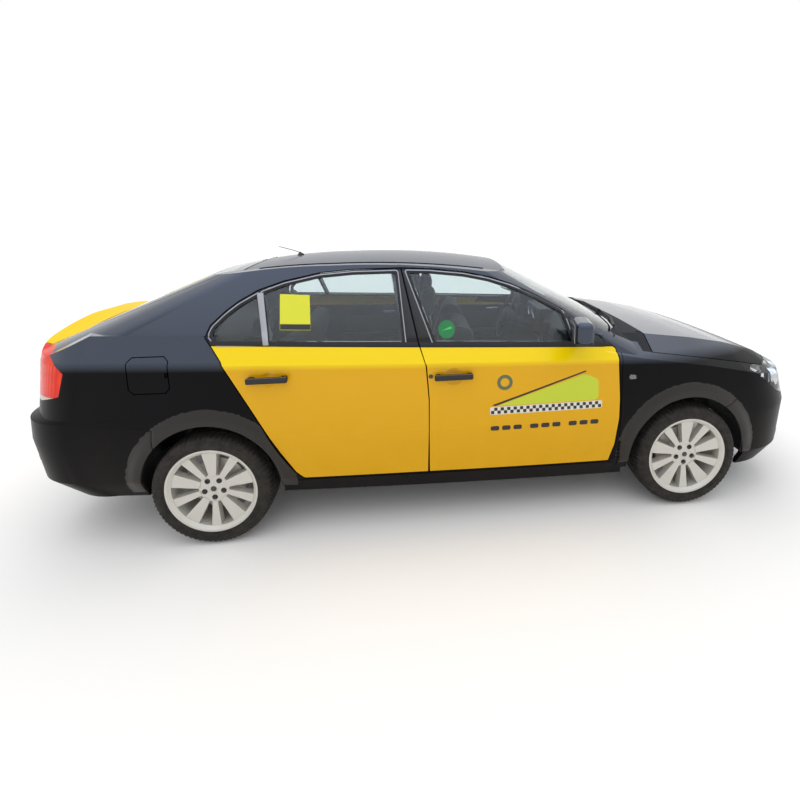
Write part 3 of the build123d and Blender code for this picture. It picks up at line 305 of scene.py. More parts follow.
def lamp_finish(name, slot, code, glint_code, code_low, level):
    """Moulded lens with upright flutes 9 mm apart, with painted glints of a reflector that brighten it on the
    flutes in patches, and a clear strip at its foot.
    """
    mat, tree, shader = finish(name, slot, roughness=0.12, specular_ior_level=0.1, coat_weight=0.2,
                               coat_roughness=0.02)
    where, axes = axes_of(tree)
    flutes = add(tree, "TexWave", {"Vector": where}, bands_direction="Y", scale=35)
    cells = add(tree, "TexVoronoi", {"Vector": where}, scale=11)
    # Painted glints: the lens colour turns brighter orange on the flutes near the middle of each cell.
    painted_glint = ramp(tree, cells.outputs["Distance"], 0.1, 0.7, 1.0, 0.2)
    lens = blend_colour(tree, math_node(tree, "MULTIPLY", flutes.outputs["Fac"], painted_glint), code, glint_code)
    low = math_node(tree, "LESS_THAN", axes.outputs["Z"], level)
    tree.links.new(blend_colour(tree, low, lens, code_low), shader.inputs["Base Color"])
    bumped(tree, shader, flutes.outputs["Fac"], 0.25, 0.002)
    return mat


glass = clear_pane("toughened_glass", "glass", "#e4eded", 1.45)
lens_clear = clear_pane("clear_polycarbonate", "lamp_clear", "#eef2f4", 1.25)
red_lamp = lamp_finish("tail_lamp_lens", "lamp_red", "#e5230c", "#ff5426", "#c9c2ba", LAMP_STRIP_Z)
gloss_black = stock("gloss_black_abs", "black_plastic", "#0b0b0d", roughness=0.12, ior=1.5)
carpet = stock("needle_carpet", "seat_cloth", "#1c1d20", (900, 0.3, 0.001), roughness=1.0)
finish_with(glass, "windscreen", "tailgate_glass", *[n for n in nodes if "door_glass" in n])
finish_with(lens_clear, "headlamps")
finish_with(red_lamp, "tail_lamps")
finish_with(gloss_black, "grille")
finish_with(carpet, "parcel_shelf")

# Wheel arches: swollen lips that stand out 13 mm in front and 15 mm behind, fade into the panel over
# 62 mm and are cut where the bumpers and the rear doors begin. Like every thin outer piece they lie on
# the CAD panels, found by looking in from the side, and the right side mirrors the left. Sizes are in mm.
SIDES = (("left", 1), ("right", -1))
AXLE_F, AXLE_R, ARCH_Z = 1380.0, -1222.0, 312.0
LIP_R, SWELL_R, FADE = 350.5, 440, 62
LIP_FOOT_Z, LIP_RISE = 235, 150  # where a lip starts to swell, and over what height
SHUT = 3.3  # half of the gap between two panels
GLASS_SET = 3  # how deep a pane stands behind its frame
MIDDLE_Z = 0.6  # height in metres of the point that sheets face away from
EASED_ANGLE = 40  # edges sharper than this are eased
TREES = {}
LEFT_SIDE = ("body_side_left", "front_door_left", "rear_door_left", "wing_left", "front_bumper",
             "rear_bumper", "front_door_glass_left", "rear_door_glass_left", "roof", "headlamps",
             "tail_lamps")
REAR_DOOR = [
    (-102, 322), (-90, 737), (-100, 921), (-137, 1034), (-222, 1407), (-480, 1405), (-663, 1392),
    (-845, 1356), (-976, 1314), (-1071, 1261), (-1132, 1214), (-1196, 1150), (-1210, 1100), (-1168, 1048),
    (-1117, 983), (-982, 714), (-869, 492), (-798, 371), (-755, 328),
]
FRONT_BUMPER = [
    (1600, 60), (1600, 588), (1703, 640), (1722, 700), (1765, 787), (2400, 900), (2400, 60),
]
REAR_BUMPER = [
    (-1480, 60), (-1480, 643), (-1716, 666), (-1895, 694), (-2100, 716), (-2400, 716), (-2400, 60),
]


def picked(piece):
    """Makes the piece the only one that operators work on."""
    bpy.ops.object.select_all(action="DESELECT")
    piece.select_set(True)
    bpy.context.view_layer.objects.active = piece


def changed(piece, kind, **settings):
    """Adds a modifier of the given kind to the active piece, sets it and applies it."""
    step = piece.modifiers.new(kind, kind)
    for key, value in settings.items():
        setattr(step, key, value)
    bpy.ops.object.modifier_apply(modifier=step.name)


def closed(piece, mat, body, thick=0, bevel=0, crease=40, segments=2):
    """Gives a piece its wall and its eased edges, then its finish and its body. Sizes are in mm."""
    picked(piece)
    if thick:
        changed(piece, "SOLIDIFY", thickness=thick / 1000, offset=-1)
    if bevel:
        changed(piece, "BEVEL", width=bevel / 1000, segments=segments, limit_method="ANGLE",
                angle_limit=math.radians(EASED_ANGLE))
    bpy.ops.object.shade_smooth_by_angle(angle=math.radians(crease))
    bpy.ops.object.transform_apply(location=True, rotation=True, scale=True)
    piece.data.materials.clear()
    piece.data.materials.append(mat)
    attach(piece, body)
    return piece


def placed(name, data):
    """New piece of the scene from a mesh or curve, picked for the operators."""
    piece = bpy.data.objects.new(name, data)
    bpy.context.scene.collection.objects.link(piece)
    picked(piece)
    return piece


def mesh_piece(name, points, faces):
    """Piece from points in metres and faces."""
    mesh = bpy.data.meshes.new(name)
    mesh.from_pydata([tuple(p) for p in points], [], [tuple(int(i) for i in f) for f in faces])
    return placed(name, mesh)


def pressed(name, points, faces, side, mat, body, thick=1.2, bevel=0.6, crease=40):
    """Sheet from outer points on the left side, mirrored for the right, facing away from the car."""
    co = np.array(points, float) / 1000
    co[:, 1] *= side
    corners = co[[list(f)[:3] for f in faces]]
    facing = np.cross(corners[:, 1] - corners[:, 0], corners[:, 2] - corners[:, 0])
    outward = corners.mean(axis=1) - np.array((0, 0, MIDDLE_Z))
    flip = (facing * outward).sum() < 0
    faces = [tuple(reversed(f)) if flip else tuple(f) for f in faces]
    return closed(mesh_piece(name, co, faces), mat, body, thick, bevel, crease)


def tree_of(name):
    """Ray tree of a CAD node, made once."""
    if name not in TREES:
        TREES[name] = BVHTree.FromObject(nodes[name], bpy.context.evaluated_depsgraph_get())
    return TREES[name]


def seen_from(origin, direction, names):
    """Nearest point in mm where a ray meets the named nodes, and the node's name."""
    best = None
    for name in names:
        place, _, _, far = tree_of(name).ray_cast(Vector(origin) / 1000, Vector(direction))
        if place is not None and (best is None or far < best[1]):
            best = (place * 1000, far, name)
    return best


def side_y(x, z, names=LEFT_SIDE):
    """Outer surface of the left side over points of the side view; a shut gap takes its neighbour's place."""
    out = []
    for px, pz in zip(x, z):
        for reach in (0, 5, 9, 14, 20, 30, 45):
            tries = [seen_from((px + reach * math.cos(a), 1100, pz + reach * math.sin(a)), (0, -1, 0), names)
                     for a in ([0] if reach == 0 else np.linspace(0, 2 * math.pi, 9)[:8])]
            found = [t[0].y + (GLASS_SET if "glass" in t[2] else 0) for t in tries if t and t[0].y > 400]
            if found:
                out.append(max(found))
                break
        else:
            out.append(840.0)
    return np.array(out)


def sides_of(loop):
    """Pairs of neighbouring points round a closed outline."""
    return zip(loop, loop[1:] + loop[:1])


def densified(loop, spacing):
    """An outline with points added at about the given spacing."""
    out = []
    for (ax, az), (bx, bz) in sides_of(loop):
        count = max(1, int(math.hypot(bx - ax, bz - az) / spacing + 0.5))
        out += [(ax + (bx - ax) * i / count, az + (bz - az) * i / count) for i in range(count)]
    return out


def inside(px, pz, loop):
    """Which points lie inside an outline."""
    hit = np.zeros(len(px), bool)
    for (ax, az), (bx, bz) in sides_of(loop):
        crosses = (az > pz) != (bz > pz)
        hit ^= crosses & (px < (bx - ax) * (pz - az) / np.where(bz == az, 1e-9, bz - az) + ax)
    return hit


def gap_to(px, pz, loop):
    """How far points lie from an outline."""
    best = np.full(len(px), 1e9)
    for (ax, az), (bx, bz) in sides_of(loop):
        dx, dz = bx - ax, bz - az
        t = np.clip(((px - ax) * dx + (pz - az) * dz) / (dx * dx + dz * dz + 1e-9), 0, 1)
        best = np.minimum(best, np.hypot(px - ax - t * dx, pz - az - t * dz))
    return best


def net(loop, holes=(), within=(), spacing=26):
    """Even net of triangles over a flat outline, without its holes and within further outlines."""
    loops = [densified(list(l), spacing) for l in [loop, *holes, *within]]
    wanted = [True] + [False] * len(holes) + [True] * len(within)

    def kept(px, pz):
        keep = np.ones(len(px), bool)
        for l, want in zip(loops, wanted):
            keep &= inside(px, pz, l) == want
        return keep

    xs, zs = [p[0] for p in loop], [p[1] for p in loop]
    gx, gz = np.meshgrid(np.arange(min(xs), max(xs), spacing), np.arange(min(zs), max(zs), spacing * 0.87))
    gx = gx + (np.arange(gz.shape[0]) % 2 * spacing / 2)[:, None]
    gx, gz = gx.ravel(), gz.ravel()
    keep = kept(gx, gz)
    for l in loops:
        keep &= gap_to(gx, gz, l) > spacing * 0.55
    points, edges = [], []
    for l in loops:
        first = len(points)
        points += l
        edges += [(first + i, first + (i + 1) % len(l)) for i in range(len(l))]
    points += list(zip(gx[keep], gz[keep]))
    made = delaunay_2d_cdt([Vector(p) for p in points], edges, [], 0, 1e-4)
    flat = np.array([tuple(v) for v in made[0]])
    tris = np.array([list(f) for f in made[2]])
    mid = flat[tris].mean(axis=1)
    tris = tris[kept(mid[:, 0], mid[:, 1])]
    used, index = np.unique(tris, return_inverse=True)
    return flat[used], index.reshape(tris.shape)


def drawn_in(loop, d):
    """A closed outline with each side moved in by d, or out where d is negative."""
    area = sum(a[0] * b[1] - b[0] * a[1] for a, b in sides_of(loop))
    turn = -1 if area > 0 else 1
    sides = []
    for (ax, az), (bx, bz) in sides_of(loop):
        run = math.hypot(bx - ax, bz - az)
        nx, nz = turn * (bz - az) / run, -turn * (bx - ax) / run
        sides.append((nx, nz, nx * ax + nz * az + d))
    out = []
    for (n1, m1, c1), (n2, m2, c2) in zip(sides[-1:] + sides[:-1], sides):
        det = n1 * m2 - n2 * m1
        out.append(((c1 * m2 - c2 * m1) / det, (n1 * c2 - n2 * c1) / det))
    return out


def arch_ring(axle):
    """Outline of a lip, from its swollen foot on the panel to its edge."""
    angles = np.radians(np.linspace(-4, 184, 60))
    outer = [(axle + SWELL_R * math.cos(a), ARCH_Z + SWELL_R * math.sin(a)) for a in angles]
    inner = [(axle + LIP_R * math.cos(a), ARCH_Z + LIP_R * math.sin(a)) for a in reversed(angles)]
    return outer + inner


def arch_lip(name, axle, swell, side, holes=(), within=()):
    """Lip round one wheel, without the holes and within the outlines given."""
    flat, tris = net(arch_ring(axle), holes, within, 13)
    r = np.hypot(flat[:, 0] - axle, flat[:, 1] - ARCH_Z)
    t = np.clip((SWELL_R - 3 - r) / FADE, 0, 1)
    level = np.clip((flat[:, 1] - LIP_FOOT_Z) / LIP_RISE, 0, 1)
    push = (np.maximum(r, LIP_R + 7) / r)[:, None]
    beside = (axle, ARCH_Z) + (flat - (axle, ARCH_Z)) * push
    y = side_y(beside[:, 0], beside[:, 1]) + swell * t * t * (3 - 2 * t) * level - 0.7
    pressed(name, np.c_[flat[:, 0], y, flat[:, 1]], tris, side, arch_enamel, "body", 14, 1.5, 50)


arch_enamel = enamel("arch_enamel", "black_paint", "#1f1d1c", "#4a4138", None, 1.4)
for name, side in SIDES:
    gap_f, gap_r = drawn_in(FRONT_BUMPER, -4), drawn_in(REAR_BUMPER, -4)
    arch_lip(f"wing_arch_lip_{name}", AXLE_F, 13, side, holes=[gap_f])
    arch_lip(f"front_bumper_arch_lip_{name}", AXLE_F, 13, side, within=[FRONT_BUMPER])
    arch_lip(f"quarter_arch_lip_{name}", AXLE_R, 15, side, holes=[gap_r, drawn_in(REAR_DOOR, -SHUT)])
    arch_lip(f"rear_bumper_arch_lip_{name}", AXLE_R, 15, side, within=[REAR_BUMPER])

# Front wheel-arch liners: black moulded tunnels inside the lips with a rib every tenth step, open towards
# the wheels.
LINER_R, RIB, LINER_Y = 356, 3, (560, 640, 730, 806)
for name, side in SIDES:
    points, faces = [], []
    for i, a in enumerate(np.radians(np.linspace(-4, 180, 61))):
        r = LINER_R + (RIB if i % 10 == 0 else 0)
        points += [(AXLE_F + r * math.cos(a), side * y, ARCH_Z + r * math.sin(a)) for y in LINER_Y]
        if i:
            k = 4 * i
            faces += [(k - 4 + j, k - 3 + j, k + 1 + j, k + j) for j in range(3)]
    liner = mesh_piece(f"front_arch_liner_{name}", np.array(points) / 1000, faces)
    closed(liner, plastic, "body", 2.5, crease=60)

# Window surrounds: black rubber and a satin steel bead round each pane, a rubber strip along the waist,
# the bar that divides the rear window from its quarter light, and gloss covers on the middle pillar.
FRONT_DOOR = [
    (916, 303), (947, 407), (962, 570), (963, 675), (952, 873), (950, 958), (818, 1062), (679, 1170),
    (527, 1253), (390, 1311), (268, 1350), (125, 1379), (-60, 1400), (-222, 1407), (-137, 1034),
    (-100, 921), (-90, 737), (-102, 322),
]
FRONT_GLASS = [
    (-52, 1032), (-184, 1384), (-60, 1378), (122, 1357), (260, 1328), (380, 1290), (515, 1232),
    (664, 1150), (700, 997),
]
REAR_GLASS = [
    (-213, 1037), (-249, 1384), (-480, 1383), (-660, 1370), (-838, 1334), (-950, 1296), (-893, 1062),
]
QUARTER_GLASS = [
    (-918, 1064), (-975, 1286), (-1060, 1239), (-1118, 1194), (-1174, 1138), (-1184, 1108), (-1147, 1070),
]
DIVIDER = [(-892, 1052), (-947, 1300), (-978, 1294), (-919, 1052)]
PILLAR = [(-64, 1052), (-202, 1392), (-236, 1395), (-236, 1394), (-198, 1054)]
WAIST_STRIP_Z, STRIP_TALL = 1009.3, 21


def rounded(loop, radius):
    """A closed outline with its corners rounded."""
    out = []
    count = len(loop)
    for i in range(count):
        p, a, b = Vector(loop[i]), Vector(loop[i - 1]), Vector(loop[(i + 1) % count])
        ea, eb = a - p, b - p
        reach = min(radius, ea.length * 0.45, eb.length * 0.45)
        start, end = p + ea.normalized() * reach, p + eb.normalized() * reach
        for t in (0, 0.2, 0.4, 0.6, 0.8, 1.0):
            out.append(tuple(start * (1 - t) ** 2 + p * (2 * t * (1 - t)) + end * t * t))
    return out


def laid(name, flat_net, side, mat, body, lift, thick, bevel=0.5, names=LEFT_SIDE):
    """Sheet laid on the side of the body, its outer face lifted off the panel."""
    flat, tris = flat_net
    y = side_y(flat[:, 0], flat[:, 1], names) + lift
    return pressed(name, np.c_[flat[:, 0], y, flat[:, 1]], tris, side, mat, body, thick, bevel)


seal = stock("epdm_seal", "black_plastic", "#101113", (1200, 0.2, 0.0002), roughness=0.7)
bead_steel = stock("satin_bead", "alloy", "#a3a3a6", metallic=0.4, roughness=0.3)
WINDOWS = (("front", FRONT_DOOR, [FRONT_GLASS]), ("rear", REAR_DOOR, [REAR_GLASS, QUARTER_GLASS]))
for name, side in SIDES:
    for kind, outline, panes in WINDOWS:
        door = f"{kind}_door_{name}"
        for i, pane in enumerate(panes):
            around = net(rounded(drawn_in(pane, -11), 16), [rounded(drawn_in(pane, 5), 12)], (), 30)
            laid(f"{kind}_window_seal_{i}_{name}", around, side, seal, door, 1.6, 2.4, bevel=0.8)
            around = net(rounded(drawn_in(pane, -14), 18), [rounded(drawn_in(pane, -9), 14)], (), 30)
            laid(f"{kind}_window_bead_{i}_{name}", around, side, bead_steel, door, 3.0, 4.0, bevel=1.2)
        low, high = min(p[0] for p in outline), max(p[0] for p in outline)
        strip = [(low - 20, WAIST_STRIP_Z - WAIST_FALL * low), (high + 20, WAIST_STRIP_Z - WAIST_FALL * high)]
        strip += [(x, z + STRIP_TALL) for x, z in reversed(strip)]
        strip = net(strip, (), [drawn_in(outline, SHUT + 2)], 14)
        laid(f"{kind}_waist_strip_{name}", strip, side, seal, door, 3.5, 4.5, bevel=1.2)
    divider = net(DIVIDER, (), (), 14)
    laid(f"quarter_divider_{name}", divider, side, bead_steel, f"rear_door_{name}", 4.0, 6.0, bevel=1.5)
    for kind, outline, _ in WINDOWS:
        door, cover = f"{kind}_door_{name}", net(PILLAR, (), [drawn_in(outline, SHUT + 1)], 20)
        laid(f"{kind}_pillar_cover_{name}", cover, side, gloss_black, door, 2.2, 3.0, bevel=0.8)

# Pull handles: black moulded bars on two feet over round finger pockets, with a lock cylinder behind the
# front one.
HANDLES = {"front": (41, 863), "rear": (-892, 893)}


def block(name, size, place, mat, body, bevel=3, turn=(0, 0, 0), segments=3):
    """Box with eased edges: size, place of its middle and turn in degrees."""
    bpy.ops.object.select_all(action="DESELECT")
    bpy.ops.mesh.primitive_cube_add(size=1, location=[c / 1000 for c in place],
                                    rotation=[math.radians(a) for a in turn])
    piece = bpy.context.object
    piece.name = name
    piece.scale = [s / 1000 for s in size]
    bpy.ops.object.transform_apply(location=False, rotation=False, scale=True)
    return closed(piece, mat, body, 0, bevel, segments=segments)


def drum(name, radius, depth, place, axis, mat, body, bevel=1.5, vertices=48):
    """Round piece along an axis, its middle at the place."""
    bpy.ops.object.select_all(action="DESELECT")
    turn = Vector(axis).to_track_quat("Z", "Y").to_euler()
    bpy.ops.mesh.primitive_cone_add(vertices=vertices, radius1=radius / 1000, radius2=radius / 1000,
                                    depth=depth / 1000, location=[c / 1000 for c in place], rotation=turn)
    piece = bpy.context.object
    piece.name = name
    return closed(piece, mat, body, 0, bevel, 40)


trim = stock("satin_trim", "black_plastic", "#3c3d40", (700, 0.1, 0.0003), roughness=0.38)
for name, side in SIDES:
    for kind, (hx, hz) in HANDLES.items():
        door = f"{kind}_door_{name}"
        block(f"{kind}_handle_{name}", (200, 21, 33), (hx, side * 869, hz), plastic, door, 9, segments=5)
        for tag, end in (("aft", -81), ("fore", 81)):
            place = (hx + end, side * 852, hz)
            block(f"{kind}_handle_foot_{tag}_{name}", (30, 34, 27), place, plastic, door, 6)
    drum(f"front_lock_{name}", 11, 6, (-78, side * 849, 866), (0, side, 0), trim, f"front_door_{name}", 1.5)

# Door mirrors: silvered glass in a black bezel on the rear face of the housing, a moulded lower shell and
# a matt cheek on the door in front of the window.
MIRROR_YAW = 12
bright = stock("bright_steel", "alloy", "#c9cacc", metallic=1.0, roughness=0.18)
for name, side in SIDES:
    door, turn = f"front_door_{name}", (0, 0, MIRROR_YAW * side)
    yaw = math.radians(MIRROR_YAW * side)
    back = Vector((-math.cos(yaw), -math.sin(yaw), 0))
    face = Vector((705, side * 905, 1092)) + back * 47
    block(f"mirror_bezel_{name}", (8, 172, 102), face, plastic, door, 3.5, turn, 4)
    block(f"mirror_glass_{name}", (3, 158, 90), face + back * 4, bright, door, 1.2, turn, 3)
    block(f"mirror_lower_shell_{name}", (88, 178, 18), (705, side * 905, 1040), plastic, door, 8, turn, 4)
    cheek = [(716, 1000), (664, 1150), (700, 1160), (840, 1046), (905, 990), (905, 974)]
    cheek = net(cheek, (), [drawn_in(FRONT_DOOR, SHUT + 1)], 16)
    laid(f"mirror_cheek_{name}", cheek, side, plastic, door, 2.4, 3.4, bevel=1)

# Side repeaters: smoked polycarbonate lamps clipped into the wings behind the front arches.
lens_smoke = clear_pane("smoked_polycarbonate", "lamp_clear", "#b9bcbd", 1.3, 0.6)
for name, side in SIDES:
    lamp = net(rounded([(1006, 790), (1046, 788), (1044, 812), (1008, 814)], 8), (), (), 8)
    laid(f"side_repeater_{name}", lamp, side, lens_smoke, "body", 5.0, 6.0, bevel=2)

# Sills: black enamelled skirts clipped on under the doors, with a rounded lower edge.
SILL = [(940, 212), (940, 292), (905, 296), (-740, 322), (-790, 316), (-800, 262), (-700, 246)]
BESIDE_SILL = ("body_side_left", "wing_left", "front_door_left", "rear_door_left")
for name, side in SIDES:
    skirt = net(SILL, (), (), 30)
    laid(f"sill_skirt_{name}", skirt, side, black_enamel, "body", 2.5, 6, bevel=2.5, names=BESIDE_SILL)

# Wheels: road tyres with three grooves, sipes at both shoulders and a rim guard on the wall, and five
# bolts, a plain cap and a valve on each painted alloy rim.
TREAD_PITCHES, SIPE_DEEP, BLOCK_DEEP, SEAT_R = 72, 4.5, 4.0, 216


def turned(name, profile, place, axis, mat, body, steps):
    """Ring or cup turned about an axis: profile as distance along the axis and radius."""
    direction = Vector(axis).normalized()
    across = direction.orthogonal().normalized()
    other = direction.cross(across)
    points = []
    for i in range(steps):
        a = 2 * math.pi * i / steps
        ray = across * math.cos(a) + other * math.sin(a)
        points += [(Vector(place) + direction * d + ray * r) / 1000 for d, r in profile]
    n = len(profile)
    faces = [(i * n + j, (i + 1) % steps * n + j, (i + 1) % steps * n + (j + 1) % n, i * n + (j + 1) % n)
             for i in range(steps) for j in range(n)]
    piece = mesh_piece(name, points, faces)
    bpy.ops.object.mode_set(mode="EDIT")
    bpy.ops.mesh.select_all(action="SELECT")
    bpy.ops.mesh.remove_doubles(threshold=0.00001)
    bpy.ops.mesh.normals_make_consistent(inside=False)
    bpy.ops.object.mode_set(mode="OBJECT")
    return closed(piece, mat, body, crease=30)


def rubber_with_dust():
    """Tyre rubber, browned by road dust in patches of a few centimetres."""
    mat, tree, shader = finish("dusty_rubber", "tyre_rubber", roughness=0.78, specular_ior_level=0.3)
    where = add(tree, "TexCoord").outputs["Object"]
    patchy = add(tree, "TexNoise", {"Vector": where}, scale=30, detail=5)
    dust = ramp(tree, patchy.outputs[0], 0.3, 0.8, 0, 1)
    tree.links.new(blend_colour(tree, dust, "#1c1b1b", "#3a342e"), shader.inputs["Base Color"])
    return grained((mat, tree, shader), 500, 0.15, 0.0005)


def tyre(name, node):
    """Tyre turned from its half section, its tread cut by sipes; gives back the wheel's middle in mm."""
    low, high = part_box(node)
    centre = [(a + b) / 2 * 1000 for a, b in zip(low, high)]
    half, outer = (high[1] - low[1]) * 500, (high[2] - low[2]) * 500
    bead = half - 17
    tread = [(0, 0), (7, 0), (8, 7), (14, 7), (15, 0.3), (38, 1), (39, 7.5), (46, 7.5), (47, 1.6), (56, 2.2),
             (70, 3.6)]
    shoulder = [(25, 6), (16, 10), (9, 18), (4.5, 27), (3.5, 31), (1.5, 33), (0.8, 44), (0.2, 46)]
    wall = [(0, 34), (0.4, 26), (2.5, 22), (4.5, 21), (9, 12), (14, 4)]
    right = [(d, outer - cut) for d, cut in tread] + [(half - d, outer - cut) for d, cut in shoulder]
    right += [(half - d, SEAT_R + rise) for d, rise in wall] + [(bead, SEAT_R + 1)]
    profile = np.array([(-d, r) for d, r in reversed(right[1:])] + right)
    steps = TREAD_PITCHES * 4
    turn = 2 * np.pi * np.arange(steps) / steps
    depth = np.zeros((steps, len(profile)))
    across, radius = np.abs(profile[:, 0]), profile[:, 1]
    edge = (across > 50) & (radius > outer - 24)
    middle = (across > 14) & (across < 39) & (radius > outer - 5)
    depth[np.ix_(np.arange(steps) % 4 == 0, edge)] = SIPE_DEEP
    depth[np.ix_(np.arange(steps) % 8 == 2, middle)] = BLOCK_DEEP
    radius = profile[None, :, 1] - depth
    x = centre[0] + radius * np.cos(turn)[:, None]
    z = centre[2] + radius * np.sin(turn)[:, None]
    y = np.broadcast_to(centre[1] + profile[None, :, 0], x.shape)
    points = np.stack([x, y, z], axis=-1).reshape(-1, 3) / 1000
    n = len(profile)
    faces = [(i * n + j, i * n + (j + 1) % n, (i + 1) % steps * n + (j + 1) % n, (i + 1) % steps * n + j)
             for i in range(steps) for j in range(n)]
    piece = closed(mesh_piece(name, points, faces), rubber, node.replace("tyre", "wheel"), crease=28)
    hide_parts(node)
    return centre


rubber = rubber_with_dust()
alloy = stock("painted_alloy", "alloy", "#d3d0c8", (600, 0.05, 0.0003), metallic=0.25, roughness=0.36)
finish_with(alloy, *[n for n in nodes if n.startswith("rim")])
finish_with(rubber, *[n for n in nodes if n.startswith("tyre")])
CAP = [(-10, 0.1), (3, 0.1), (2.6, 14), (0.5, 21), (-2, 25), (-10, 26)]
BOLT_SEAT = [(0, 9.6), (0, 13.4), (-1.2, 13.8), (-3, 13.0), (-3, 9.6)]
RIM_EDGE = [(-3, 222), (1.6, 223.5), (2.4, 226), (1.2, 228), (-3, 228)]
BOLT_R, VALVE_R = 50, 196
for end in ("front", "rear"):
    for name, side in SIDES:
        tag, out = f"{end}_{name}", (0, side, 0)
        wheel = f"wheel_{tag}"
        cx, cy, cz = tyre(f"road_tyre_{tag}", f"tyre_{tag}")
        face = cy + side * 72
        turned(f"cap_{tag}", CAP, (cx, face - side * 1.5, cz), out, alloy, wheel, 40)
        drum(f"cap_badge_field_{tag}", 15, 1.5, (cx, face + side * 1.6, cz), out, trim, wheel, 0.5, 36)
        for i in range(5):
            a = math.radians(i * 72 + 126)
            bx, bz = cx + BOLT_R * math.cos(a), cz + BOLT_R * math.sin(a)
            drum(f"bolt_{tag}_{i}", 8.5, 20, (bx, face - side * 17, bz), out, steel, wheel, 1.2, 6)
            turned(f"bolt_seat_{tag}_{i}", BOLT_SEAT, (bx, face - side * 1.2, bz), out, seal, wheel, 24)
        a = math.radians(18)
        place = (cx + VALVE_R * math.cos(a), cy + side * 56, cz + VALVE_R * math.sin(a))
        drum(f"valve_{tag}", 4, 34, place, out, seal, wheel, 1, 12)
        turned(f"rim_edge_{tag}", RIM_EDGE, (cx, cy + side * 97, cz), out, alloy, wheel, 120)

# Nose: blank number plate on its holder, fog lamps sunk in matt pockets, satin frames round both mouths
# and the lamp units inside the clear headlamp bodies.
plate_white = stock("plate_white", "black_plastic", "#e8e9ea", roughness=0.35)


def front_x(y, z, names=("front_bumper", "headlamps", "bonnet", "grille", "wing_left")):
    """How far forward the nose reaches at a y and z."""
    hit = seen_from((3000, y, z), (-1, 0, 0), names)
    return hit[0].x if hit else 2150


def rear_x(y, z, names=("rear_bumper", "tailgate", "tail_lamps", "body_side_left")):
    """How far back the tail reaches at a y and z."""
    hit = seen_from((-3000, y, z), (1, 0, 0), names)
    return hit[0].x if hit else -2150


def faced(name, outline, rear, mat, body, lift, thick, bevel=1.0, spacing=26, holes=(), names=None, side=1):
    """Sheet laid on the nose or the tail: its outline is given as y and z."""
    flat, tris = net(outline, holes, (), spacing)
    find = rear_x if rear else front_x
    x = np.array([find(*p, names) if names else find(*p) for p in flat]) + (-lift if rear else lift)
    return pressed(name, np.c_[x, flat[:, 0], flat[:, 1]], tris, side, mat, body, thick, bevel)


block("front_plate_holder", (8, 532, 121), (2222, 0, 477), plastic, "body", 3)
block("front_plate", (3, 518, 109), (2228, 0, 477), plate_white, "body", 1.2)
mouth = rounded([(-408, 592), (408, 592), (420, 706), (-420, 706)], 30)
faced("upper_mouth_frame", mouth, False, trim, "body", 2.5, 8, 1.5, 20, [drawn_in(mouth, 14)],
      ("front_bumper", "bonnet"))
lower = rounded([(-528, 232), (528, 232), (520, 408), (-520, 408)], 34)
faced("lower_mouth_frame", lower, False, plastic, "body", 2.5, 8, 1.5, 20, [drawn_in(lower, 12)],
      ("front_bumper",))
FOG_Y, FOG_Z = 590, 318
FOG_POCKET = [(-34, 40), (3, 56), (6, 59), (4, 62), (-30, 62)]
FOG_RING = [(-16, 40), (-10, 47), (-13, 51), (-26, 51), (-26, 40)]
FOG_LENS = [(-15, 0.1), (-17, 20), (-22, 40), (-26, 40), (-24, 0.1)]
PROJECTOR = [(2, 0.1), (-1, 13), (-8, 22), (-20, 25), (-34, 25), (-34, 0.1)]
for name, side in SIDES:
    beside = ((0, 0), (40, 0), (0, 40))
    x, out, rise = (front_x(FOG_Y + dy, FOG_Z + dz, ("front_bumper",)) for dy, dz in beside)
    lean = Vector((1, side * (x - out) / 40, (x - rise) / 40)).normalized()
    spot = Vector((x, side * FOG_Y, FOG_Z)) - lean * 4
    turned(f"fog_pocket_{name}", FOG_POCKET, spot, lean, plastic, "body", 48)
    turned(f"fog_ring_{name}", FOG_RING, spot, lean, bright, "body", 48)
    turned(f"fog_lens_{name}", FOG_LENS, spot, lean, lens_clear, "body", 40)
    for tag, y, z, radius in (("outer", 690, 705, 52), ("inner", 556, 700, 48)):
        place, ahead = (front_x(y, z, ("headlamps",)) - 46, side * y, z), (1, side * 0.12, 0)
        bowl = [(-38, 6), (-30, radius * 0.55), (-12, radius * 0.85), (6, radius), (6, radius + 4),
                (-40, radius + 2)]
        turned(f"lamp_bowl_{tag}_{name}", bowl, place, ahead, bright, "body", 48)
        turned(f"lamp_projector_{tag}_{name}", PROJECTOR, place, ahead, lens_clear, "body", 40)

# Tail: blank plate on its holder under the lid's handle, two plate lamps, reflectors in the bumper, a
# tail pipe trim and the high brake lamp behind the glass.
lens_red = clear_pane("red_acrylic", "lamp_red", "#d2180c", 1.25, 0.55)
block("rear_plate_holder", (6, 530, 118), (-2149, 0, 857), plastic, "tailgate", 2.5)
block("rear_plate", (3, 518, 108), (-2153.5, 0, 857), plate_white, "tailgate", 1.2)
block("lid_handle", (26, 420, 26), (-2160, 0, 928), plastic, "tailgate", 8, segments=4)
for name, side in SIDES:
    block(f"plate_lamp_{name}", (16, 44, 8), (-2158, side * 110, 914), lens_clear, "tailgate", 2)
    outline = rounded([(side * 560, 452), (side * 690, 452), (side * 690, 486), (side * 560, 486)], 10)
    faced(f"rear_reflector_{name}", [(abs(y), z) for y, z in outline], True, lens_red, "body", 3, 5, 1.5, 18,
          names=("rear_bumper",), side=side)
pipe = [(-40, 24), (40, 27), (44, 28.5), (42, 31), (-40, 29)]
turned("tail_pipe_trim", pipe, (-2160, -440, 226), (-1, 0, -0.07), bright, "body", 48)
block("high_brake_lamp", (22, 240, 16), (-1165, 0, 1392), lens_red, "tailgate", 3)

# Roof and screens: rubber strips in the roof joints, a short moulded aerial, and rubber wiper blades and
# caps on the CAD arms.
ROOF_GAP = 14  # from a roof joint's middle to the panel on either side


